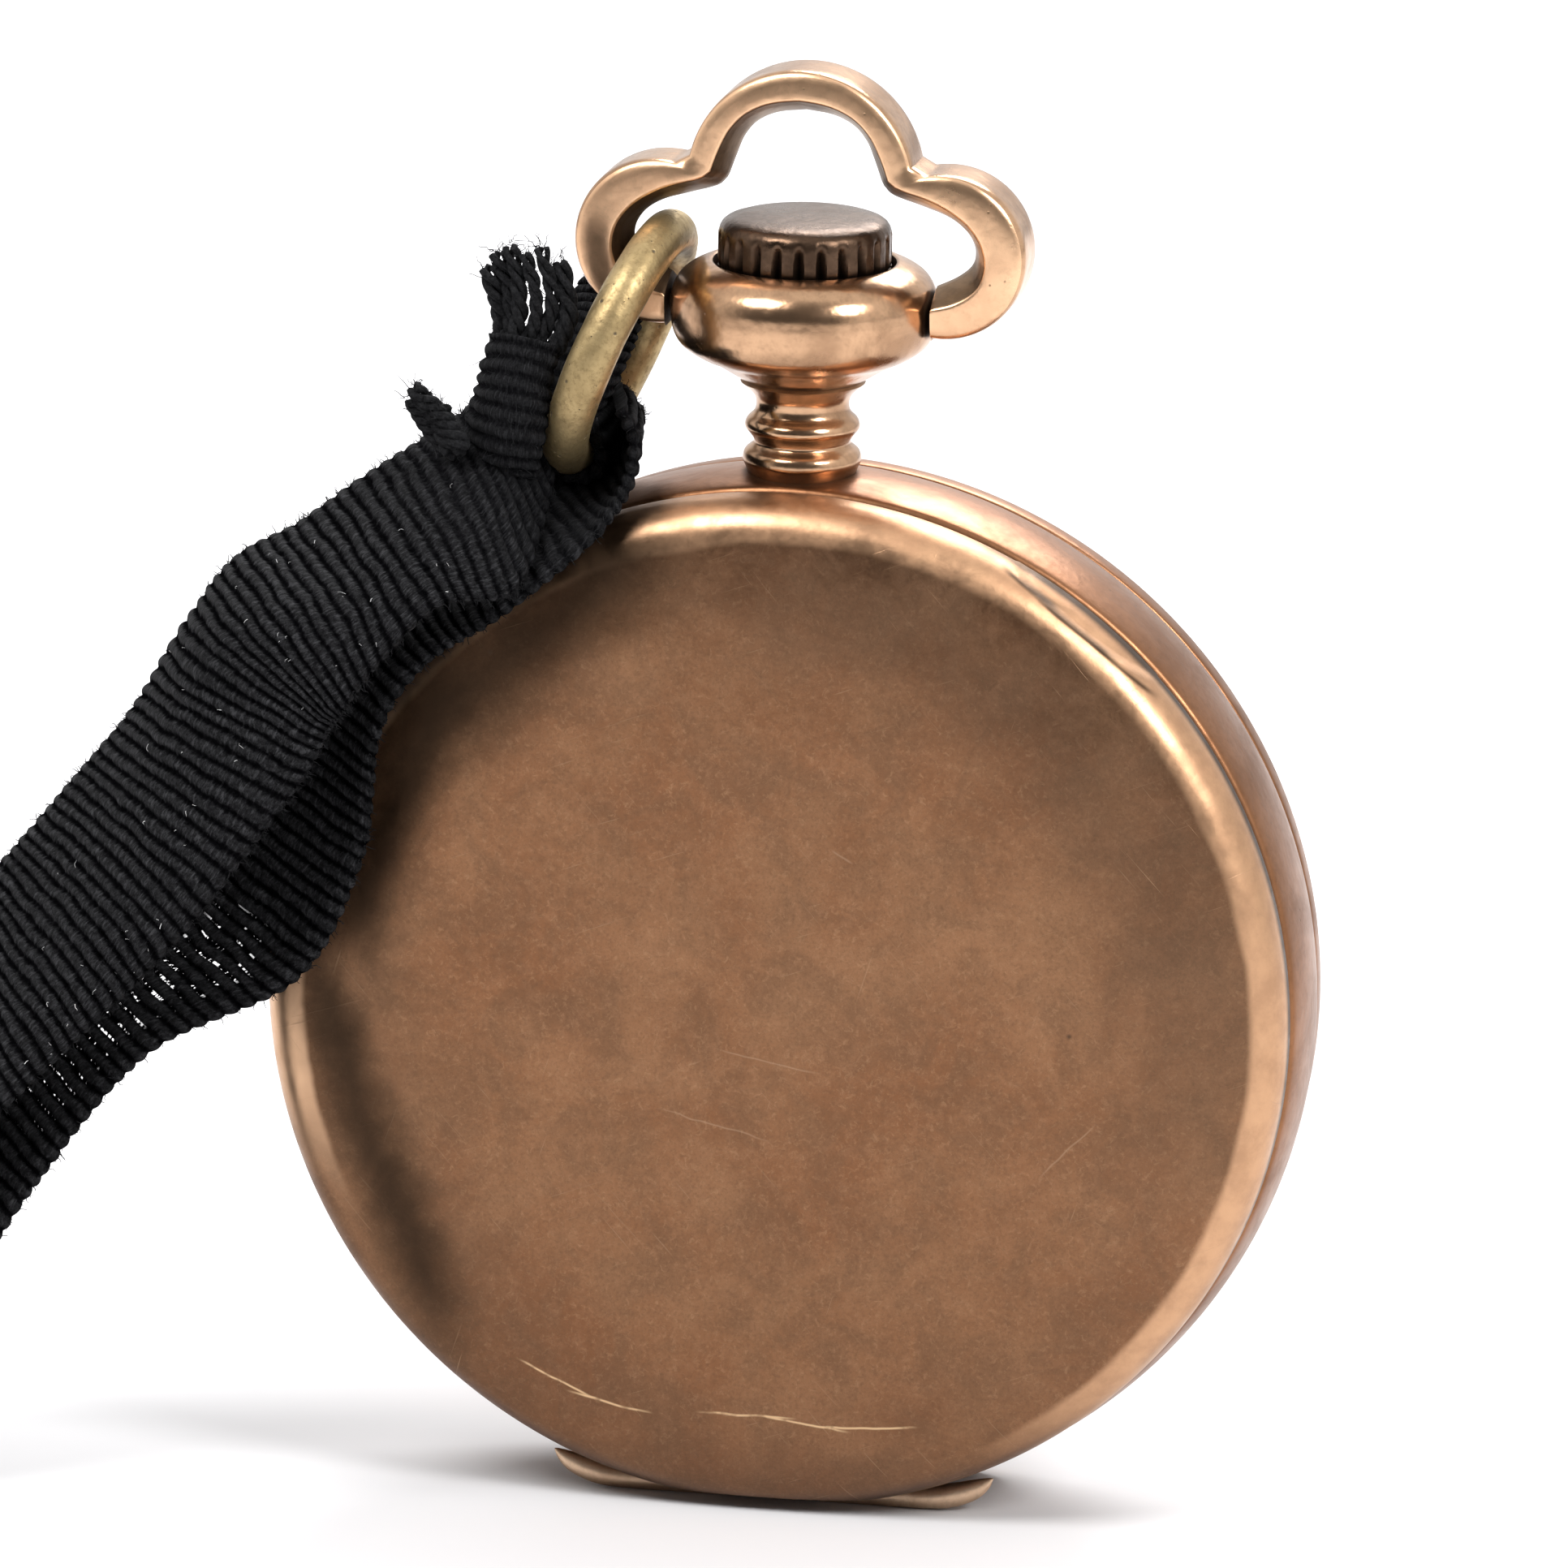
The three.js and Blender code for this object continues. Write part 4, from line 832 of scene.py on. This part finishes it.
def bow():
    top_outer = arc((0, 27.22), 3.83, 90, 12, 26)
    side_outer = arc((4.8, 25.05), 2.77, 102, -97, 58)
    outer = [*top_outer, *side_outer, (4.46, 22.2)]
    inner = [
        *resample(flat_spline(BOW_TOP_INNER, 8), len(top_outer)),
        *resample(flat_spline(BOW_SIDE_INNER, 8), len(side_outer) + 1),
    ]
    ring = BOW_SECTION + [(f, -v) for f, v in reversed(BOW_SECTION[1:-1])]
    verts = []
    pairs = list(zip(outer, inner))
    for mirror, line in ((-1, list(reversed(pairs[1:]))), (1, pairs)):
        for (ox, oz), (ix, iz) in line:
            for f, v in ring:
                verts.append((mirror * (ix + (ox - ix) * f), v, iz + (oz - iz) * f))
    rows = 2 * len(pairs) - 1
    faces = grid_faces(rows, len(ring))
    faces += [tuple(reversed(range(len(ring)))), tuple((rows - 1) * len(ring) + k for k in range(len(ring)))]
    for hand in (-1, 1):
        add_part(verts, faces, tube([Vector((hand * x, 0, BOW_PIVOT_Z)) for x in (3.4, 4.9)], 0.33, 16))
    obj = make_piece("visual_bow", verts, faces, "bow", BOW_GOLD, ["bow"], 40)
    # painted shade: the inner faces take the darker grimy copy and the outer faces the darker rose gold, on
    # one piece of metal
    obj.data.materials.append(BOW_INNER)
    obj.data.materials.append(ROSE)
    inner_slot, outer_slot = 1, 2
    for face in obj.data.polygons:
        if face.index < (rows - 1) * len(ring):
            here, after = ring[face.index % len(ring)][0], ring[(face.index + 1) % len(ring)][0]
            if max(here, after) < 0.36:
                face.material_index = inner_slot
            elif min(here, after) > 0.95:
                face.material_index = outer_slot


bow()

# ---------- jump ring
RING_DOWN = Vector((-0.375, 0.0, -0.927))
RING_DOWN = (RING_DOWN - RING_DOWN.dot(RING_AXIS) * RING_AXIS).normalized()
RING_FRONT = RING_AXIS.cross(RING_DOWN).normalized()
if RING_FRONT.y > 0:
    RING_FRONT = -RING_FRONT


def ring_line(angle):
    """The wire's centre line, at an angle from its lowest point towards the front."""
    turn = math.radians(angle)
    return RING_AT + RING_R * (math.cos(turn) * RING_DOWN + math.sin(turn) * RING_FRONT)


def jump_ring():
    verts, turns, sides = [], 144, 48
    for i in range(turns):
        p = ring_line(360 * i / turns)
        out = (p - RING_AT).normalized()
        for k in range(sides):
            turn = 2 * math.pi * k / sides
            lump = 0.012 * noise.noise(p * 0.9) + 0.006 * noise.noise(p * 2.5 + out * 3)
            verts.append(p + (RING_WIRE - 0.01 + lump) * (math.cos(turn) * out + math.sin(turn) * RING_AXIS))
    faces = grid_faces(turns, sides, wrap_rows=True)
    make_piece("visual_jump_ring", verts, faces, "ring", WIRE, ["jump_ring"])


jump_ring()


# ---------- ribbon
def round_wire(angle, psi, left, reach=1.08):
    """A point beside the wire: psi turns from the inside of the ring, over the right, to the outside."""
    p = ring_line(angle)
    inward = (RING_AT - p).normalized()
    turn = math.radians(psi)
    return p + reach * (math.cos(turn) * inward + math.sin(turn) * RING_AXIS) - left * RING_AXIS


def ring_stop(psi, left, reach=1.08):
    return [round_wire(angle, psi, left, reach) for angle in (-46, -16, 14)]


# Each stop is the strip's upper edge, its lengthwise crease and its lower edge.
RIBBON_STOPS = [
    ring_stop(180, 1.2, 1.02),
    ring_stop(120, 0.0),
    ring_stop(60, 0.0),
    ring_stop(0, 0.6, 1.3),
    [(-9.6, -1.6, 20.0), (-8.8, -3.6, 18.3), (-7.9, -3.7, 16.5)],
    [(-11.6, -3.1, 18.7), (-9.6, -5.9, 17.1), (-8.2, -6.9, 14.4)],
    [(-14.3, -3.2, 16.8), (-11.8, -7.2, 15.5), (-10.4, -8.2, 14.1)],
    [(-16.4, -3.0, 15.2), (-13.5, -7.8, 14.2), (-12.1, -9.0, 12.4)],
    [(-18.6, -2.8, 13.8), (-15.9, -8.0, 13.3), (-13.3, -9.4, 10.7)],
    [(-20.1, -2.6, 11.5), (-18.1, -7.5, 11.6), (-13.9, -9.4, 9.8)],
    [(-21.7, -2.6, 8.9), (-18.8, -7.8, 9.1), (-15.0, -9.4, 7.8)],
    [(-24.8, -3.0, 4.9), (-20.9, -8.6, 4.2), (-18.9, -9.8, 2.5)],
    [(-28.3, -3.4, 0.6), (-24.7, -9.0, -0.8), (-23.3, -10.2, -2.1)],
    [(-33.6, -3.2, -5.6), (-31.6, -8.2, -6.4), (-29.6, -11.2, -8.2)],
    [(-39.6, -2.8, -11.0), (-38.2, -7.6, -11.2), (-36.6, -12.0, -12.8)],
    [(-46.6, -2.8, -14.4), (-46.0, -7.8, -14.3), (-45.2, -12.6, -15.0)],
    [(-53.6, -3.0, -15.7), (-53.2, -8.0, -15.6), (-52.8, -13.0, -15.7)],
    [(-58.0, -3.2, -15.9), (-57.8, -8.2, -15.9), (-57.6, -13.2, -15.9)],
    [(-58.6, -3.2, -16.45), (-58.4, -8.2, -16.45), (-58.2, -13.2, -16.45)],
    [(-58.0, -3.2, -17.0), (-57.8, -8.2, -17.0), (-57.6, -13.2, -17.0)],
    [(-53.6, -3.0, -17.0), (-53.2, -8.0, -17.0), (-52.8, -13.0, -17.0)],
    [(-46.0, -2.8, -16.9), (-45.6, -7.8, -16.9), (-44.8, -12.6, -16.9)],
    [(-38.8, -2.4, -15.2), (-37.6, -7.2, -15.8), (-35.4, -11.2, -16.7)],
    [(-33.4, -2.0, -9.4), (-31.4, -6.6, -11.2), (-28.6, -10.2, -13.4)],
    [(-29.2, -2.0, -2.9), (-26.8, -5.6, -4.6), (-23.8, -9.0, -6.3)],
    [(-25.9, -1.6, 0.8), (-23.2, -4.9, -0.4), (-20.2, -7.8, -1.8)],
    [(-22.7, -1.2, 4.3), (-19.2, -4.4, 2.7), (-15.3, -7.2, 0.9)],
    [(-20.3, -1.0, 7.8), (-17.0, -4.2, 6.6), (-13.2, -7.0, 5.2)],
    [(-17.3, -1.0, 11.3), (-15.1, -4.1, 10.4), (-12.7, -6.8, 9.3)],
    [(-14.7, -1.2, 13.4), (-13.3, -4.0, 12.5), (-11.3, -6.4, 11.6)],
    [(-11.9, -0.8, 15.7), (-10.4, -3.6, 14.2), (-9.1, -5.9, 13.1)],
    [(-10.2, -0.2, 16.9), (-8.6, -3.2, 15.9), (-7.0, -5.6, 14.9)],
    [(-8.8, 0.6, 17.2), (-7.2, -2.6, 16.3), (-5.7, -5.1, 16.2)],
    [(-6.9, 1.2, 17.4), (-5.8, -1.4, 17.1), (-5.0, -4.2, 17.5)],
    [(-6.0, 1.2, 18.9), (-5.3, -1.1, 18.6), (-4.9, -3.5, 18.9)],
    [(-6.5, 0.8, 19.7), (-5.9, -1.0, 19.5), (-5.5, -3.0, 19.8)],
]

# The two cut ends that stand up out of the knot: one beside the ring, one through it.
CUT_END_BESIDE = [
    [(-10.6, -3.0, 16.9), (-9.2, -4.2, 17.0), (-8.2, -3.6, 17.0)],
    [(-10.5, -3.4, 19.1), (-9.0, -5.3, 19.0), (-7.9, -4.4, 18.6)],
    [(-10.0, -3.3, 20.9), (-8.8, -4.6, 21.1), (-7.7, -4.3, 20.8)],
    [(-9.7, -3.4, 22.1), (-8.6, -4.2, 22.3), (-7.5, -4.0, 22.0)],
]
CUT_END_THROUGH = [
    [(-8.8, -2.0, 18.8), (-7.8, -2.7, 19.0), (-6.7, -1.8, 19.2)],
    [(-8.5, -1.2, 20.3), (-7.3, -1.9, 20.4), (-6.1, -1.0, 20.4)],
    [(-8.3, 0.3, 21.8), (-7.0, -0.2, 21.7), (-5.8, 0.5, 21.5)],
    [(-7.9, 1.7, 23.0), (-6.8, 1.6, 23.1), (-5.7, 1.7, 22.7)],
    [(-7.5, 1.9, 23.8), (-6.6, 1.9, 24.0), (-5.9, 1.9, 23.4)],
]


def point_across(lines, s):
    """The strip's point at share s of its width; a soft quadratic keeps its lengthwise crease rounded."""
    left, crease, right = lines
    return left * (1 - s) * (1 - 2 * s) + crease * 4 * s * (1 - s) + right * s * (2 * s - 1)


def slope_across(lines, s):
    """The direction of that curve, towards the right edge."""
    left, crease, right = lines
    return left * (4 * s - 3) + crease * (4 - 8 * s) + right * (4 * s - 1)


def strip(name, stops, steps, across=28, half_thick=RIBBON_HALF_THICK, crumple=0.10):
    """A ribbed strip of cloth through the stops, closed all round, and its rows of edge and crease points."""
    lines = [spline([Vector(stop[i]) for stop in stops], steps) for i in range(3)]
    rows = round(lengths_along(lines[1])[-1] / RIB_PITCH) * ROWS_PER_RIB
    steps_along = even_steps(lines[1], rows + 1)
    places = [[line[k].lerp(line[k + 1], t) for line in lines] for k, t in steps_along]
    verts, uvs = [], []
    for layer in (1, -1):
        for i, row in enumerate(places):
            ahead, behind = places[min(i + 2, rows)][1], places[max(i - 2, 0)][1]
            along = (ahead - behind).normalized()
            for j in range(across + 1):
                s = j / across
                p, slope = point_across(row, s), slope_across(row, s)
                out = along.cross(slope).normalized()
                phase = i / ROWS_PER_RIB + 0.22 * noise.noise(p * 0.8)
                rib = abs(math.cos(math.pi * phase))
                edge = min(s, 1 - s)
                selvedge = math.exp(-((edge / 0.05) ** 2))
                swell = half_thick * (0.45 + 0.72 * rib**0.8) + 0.07 * selvedge
                ripple = crumple * noise.noise(p * 0.35 + Vector((0, 5, 0)))
                ripple += 0.3 * crumple * noise.noise(p * 1.7)
                if edge == 0:
                    swell *= 0.35
                    p = p + slope.normalized() * (0.10 * rib * (1 if s else -1))
                verts.append(p + out * (layer * swell + ripple))
                uvs.append((RIBBON_WIDE * (s - 0.5), phase * RIB_PITCH))
    columns = across + 1
    count = (rows + 1) * columns
    faces = grid_faces(rows + 1, columns, wrap_columns=False)
    faces += grid_faces(rows + 1, columns, wrap_columns=False, flip=True, start=count)
    for i in range(rows):
        for j in (0, across):
            a, b = i * columns + j, (i + 1) * columns + j
            faces.append((a, a + count, b + count, b) if j else (a, b, b + count, a + count))
    for i in (0, rows):
        for j in range(across):
            a = i * columns + j
            faces.append((a, a + 1, a + 1 + count, a + count) if i else (a, a + count, a + 1 + count, a + 1))
    replaced = ["ribbon"] if name == "visual_ribbon" else []
    obj = make_piece(name, verts, faces, None, CLOTH, replaced, 180)
    layer = obj.data.uv_layers.new(name="ribbon")
    for loop in obj.data.loops:
        layer.data[loop.index].uv = uvs[loop.vertex_index]
    return obj, places


def scatter(rng, *spreads):
    """A random offset with its own spread along each axis."""
    return Vector([rng.gauss(0, spread) for spread in spreads])


def strand(rng, start, middle, end, radius, waver, steps=2):
    """One loose fibre through three points, with a little waver of its own."""
    line = spline([start, middle, end], steps)
    path = [p + scatter(rng, 1, 1, 1) * waver * (0.3 + i / len(line)) for i, p in enumerate(line)]
    return tube(path, radius, 5, taper=0.55)


def loose_fibre(rng, start, spreads, radius):
    """A short straight fibre that ends a random way off."""
    end = start + scatter(rng, *spreads)
    return strand(rng, start, (start + end) / 2, end, radius, 0.02)


def yarn(rng, verts, faces, points, radius):
    """A thick thread of three plies twisted together, fraying out at its tip."""
    line = spline(points, 14)
    turn0 = rng.uniform(0, 2 * math.pi)
    for ply in range(3):
        path = []
        for i, p in enumerate(line):
            side, up = sideways(line, i)
            turn = turn0 + 2 * math.pi * ply / 3 + i * 0.42
            spread = radius * (0.62 + 0.5 * max(0.0, i / len(line) - 0.75))
            bend = Vector((noise.noise(p * 1.3 + Vector((ply, 0, 0))), noise.noise(p * 1.3), 0)) * 0.10
            path.append(p + bend + spread * (math.cos(turn) * side + math.sin(turn) * up))
        add_part(verts, faces, tube(path, radius * 0.66, 8, taper=0.35))
    for _ in range(26):
        start = line[-1 - rng.randrange(14)] + scatter(rng, *3 * [0.45 * radius])
        end = start + Vector((rng.gauss(0, 0.28), rng.gauss(0, 0.2), rng.uniform(-0.1, 0.55)))
        add_part(verts, faces, strand(rng, start, (start + end) / 2, end, 0.018, 0.03, 3))
    for _ in range(40):
        start = rng.choice(line) + scatter(rng, *3 * [0.5 * radius])
        add_part(verts, faces, loose_fibre(rng, start, (0.22, 0.22, 0.22), 0.012))


# Frayed yarns: base, middle, tip and radius of each.
YARNS = [
    ((-9.5, -3.5, 21.6), (-9.4, -3.7, 23.0), (-9.8, -3.9, 24.5), 0.30),
    ((-9.2, -3.8, 21.7), (-9.0, -3.9, 23.4), (-9.5, -3.9, 25.0), 0.28),
    ((-9.0, -4.1, 21.8), (-8.7, -4.1, 23.6), (-9.0, -4.1, 25.3), 0.26),
    ((-8.5, -4.1, 21.8), (-8.1, -4.2, 23.4), (-8.5, -4.2, 25.1), 0.22),
    ((-8.1, -4.1, 21.8), (-7.6, -4.1, 23.5), (-8.0, -4.1, 25.3), 0.22),
    ((-7.9, -4.1, 21.4), (-7.1, -4.0, 22.8), (-7.4, -3.8, 24.8), 0.30),
    ((-10.7, -5.2, 18.6), (-11.2, -5.4, 19.7), (-11.9, -5.5, 20.7), 0.30),
    ((-10.9, -5.0, 18.5), (-11.5, -5.2, 19.4), (-12.1, -5.3, 20.2), 0.28),
    ((-10.3, -5.3, 18.7), (-10.9, -5.5, 19.6), (-11.5, -5.6, 20.4), 0.28),
    ((-10.6, -4.9, 18.4), (-10.9, -5.0, 19.2), (-11.1, -5.2, 20.0), 0.30),
    ((-7.4, 1.8, 23.7), (-7.4, 2.0, 24.1), (-7.6, 2.1, 24.6), 0.22),
    ((-6.8, 1.8, 23.9), (-6.9, 2.0, 24.3), (-6.9, 2.1, 24.8), 0.22),
]


def loose_threads(end_rows):
    """The frayed yarns and the short fibres standing off the cut ends."""
    rng = random.Random(7)
    verts, faces = [], []
    for base, bend, tip, radius in YARNS:
        yarn(rng, verts, faces, [Vector(base), Vector(bend), Vector(tip)], radius)
    for places in end_rows:
        for _ in range(420):
            p = point_across(rng.choice(places), rng.random())
            start = p + scatter(rng, 0.12, 0.12, 0.12)
            add_part(verts, faces, loose_fibre(rng, start, (0.24, 0.24, 0.24), 0.014))
    return make_piece("ribbon_loose_threads", verts, faces, None, THREAD)


def edge_fuzz(places):
    """Short fibres standing off the selvedges, and pale lint caught in the ribs."""
    rng = random.Random(21)
    verts, faces, pale_verts, pale_faces = [], [], [], []
    for _ in range(3600):
        left, crease, right = places[int(len(places) * rng.random() ** 1.5)]
        base, away = (left, left - crease) if rng.random() < 0.5 else (right, right - crease)
        jitter = scatter(rng, 0.6, 0.6, 0.6)
        end = base + (away.normalized() + jitter).normalized() * rng.uniform(0.12, 0.42)
        add_part(verts, faces, strand(rng, base, (base + end) / 2 + jitter * 0.06, end, 0.018, 0.02))
    for _ in range(150):
        i = rng.randrange(len(places) // 2)
        s = rng.uniform(0.08, 0.92)
        along = places[min(i + 3, len(places) - 1)][1] - places[max(i - 3, 0)][1]
        out = along.cross(slope_across(places[i], s)).normalized()
        base = point_across(places[i], s) + out * 0.24
        end = base + scatter(rng, 0.10, 0.07, 0.10)
        middle = (base + end) / 2 + out * 0.05
        thickness = rng.choice((0.007, 0.009, 0.014))
        add_part(pale_verts, pale_faces, strand(rng, base, middle, end, thickness, 0.01))
    fuzz = make_piece("ribbon_fuzz", verts, faces, None, THREAD)
    return fuzz, make_piece("ribbon_lint", pale_verts, pale_faces, None, LINT)


ribbon_piece, ribbon_places = strip("visual_ribbon", RIBBON_STOPS, 60)
end_beside, beside_places = strip("ribbon_end_beside", CUT_END_BESIDE, 24, 18, 0.24, 0.30)
end_through, through_places = strip("ribbon_end_through", CUT_END_THROUGH, 24, 14, 0.24, 0.30)
threads = loose_threads([beside_places, through_places])
fuzz, lint = edge_fuzz(ribbon_places)
ribbon_extras = [end_beside, end_through, threads, fuzz, lint]
for piece in (ribbon_piece, *ribbon_extras):
    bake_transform(piece)


# ---------- floor, light and camera
def area_light(name, where, aim, size, power):
    data = bpy.data.lights.new(name, "AREA")
    data.shape, data.size, data.energy = "DISK", size / 1000, power
    lamp = add_object(name, data)
    lamp.location = at(*where)
    lamp.rotation_euler = (at(*aim) - lamp.location).to_track_quat("-Z", "Y").to_euler()


FLOOR_R = 2600.0


def floor():
    g = Graph("white_floor", metallic=0.0, roughness=0.6)
    g.set("Base Color", g.mix(g.noise(0.02, 3), (0.655, 0.65, 0.66), (0.675, 0.67, 0.68)))
    g.set("Specular IOR Level", 0.15)
    mesh = bpy.data.meshes.new("floor")
    turns = [math.radians(k * 5) for k in range(72)]
    rim = [at(FLOOR_R * math.cos(turn), FLOOR_R * math.sin(turn), FLAT_Z - 0.01) for turn in turns]
    mesh.from_pydata(rim, [], [tuple(range(len(rim)))])
    obj = add_object("floor", mesh)
    mesh.materials.append(g.material)


def surroundings():
    """A white studio with a dim side in front of the watch, which its flat back mirrors."""
    world = bpy.data.worlds.new("studio")
    bpy.context.scene.world = world
    world.use_nodes = True
    tree = world.node_tree
    direction = tree.nodes.new("ShaderNodeTexCoord").outputs["Generated"]
    dot = tree.nodes.new("ShaderNodeVectorMath")
    dot.operation = "DOT_PRODUCT"
    tree.links.new(direction, dot.inputs[0])
    dot.inputs[1].default_value = Vector((-0.02, -0.93, 0.32)).normalized()
    fall = tree.nodes.new("ShaderNodeMapRange")
    fall.interpolation_type = "SMOOTHSTEP"
    for socket, value in zip(fall.inputs, (dot.outputs["Value"], 0.38, 0.86, 1.0, 0.10)):
        if isinstance(value, float):
            socket.default_value = value
        else:
            tree.links.new(value, socket)
    tree.links.new(fall.outputs[0], tree.nodes["Background"].inputs["Strength"])
    tree.nodes["Background"].inputs["Color"].default_value = (1.0, 1.0, 1.0, 1.0)


floor()
surroundings()
area_light("key", (-190, -215, 410), (0, 0, 4), 240, 2.0)
area_light("fill", (330, -215, 315), (0, 0, 4), 170, 1.7)
area_light("back", (30, 330, 320), (0, 0, 0), 260, 1.8)

VIEW_TURN, VIEW_RISE, VIEW_ROLL = math.radians(11.5), math.radians(14), math.radians(0.81)
FRAME_WIDTH, DISTANCE, SENSOR = 52.08, 700.0, 36.0
AIM_RIGHT, AIM_UP = -0.35, 6.5
level = Vector((math.cos(VIEW_TURN), math.sin(VIEW_TURN), 0))
reach = math.cos(VIEW_RISE)
back = Vector((math.sin(VIEW_TURN) * reach, -math.cos(VIEW_TURN) * reach, math.sin(VIEW_RISE)))
upright = back.cross(level)
right = level * math.cos(VIEW_ROLL) + upright * math.sin(VIEW_ROLL)
up = upright * math.cos(VIEW_ROLL) - level * math.sin(VIEW_ROLL)
camera_data = bpy.data.cameras.new("camera")
camera_data.sensor_width = SENSOR
camera_data.lens = SENSOR * DISTANCE / FRAME_WIDTH
camera_data.clip_start, camera_data.clip_end = 0.05, 20
camera = add_object("camera", camera_data)
place = at(*(AIM_RIGHT * right + AIM_UP * up + DISTANCE * back))
camera.matrix_world = Matrix.Translation(place) @ Matrix((right, up, back)).transposed().to_4x4()
bpy.context.scene.camera = camera
bpy.context.scene.view_settings.view_transform = "Standard"
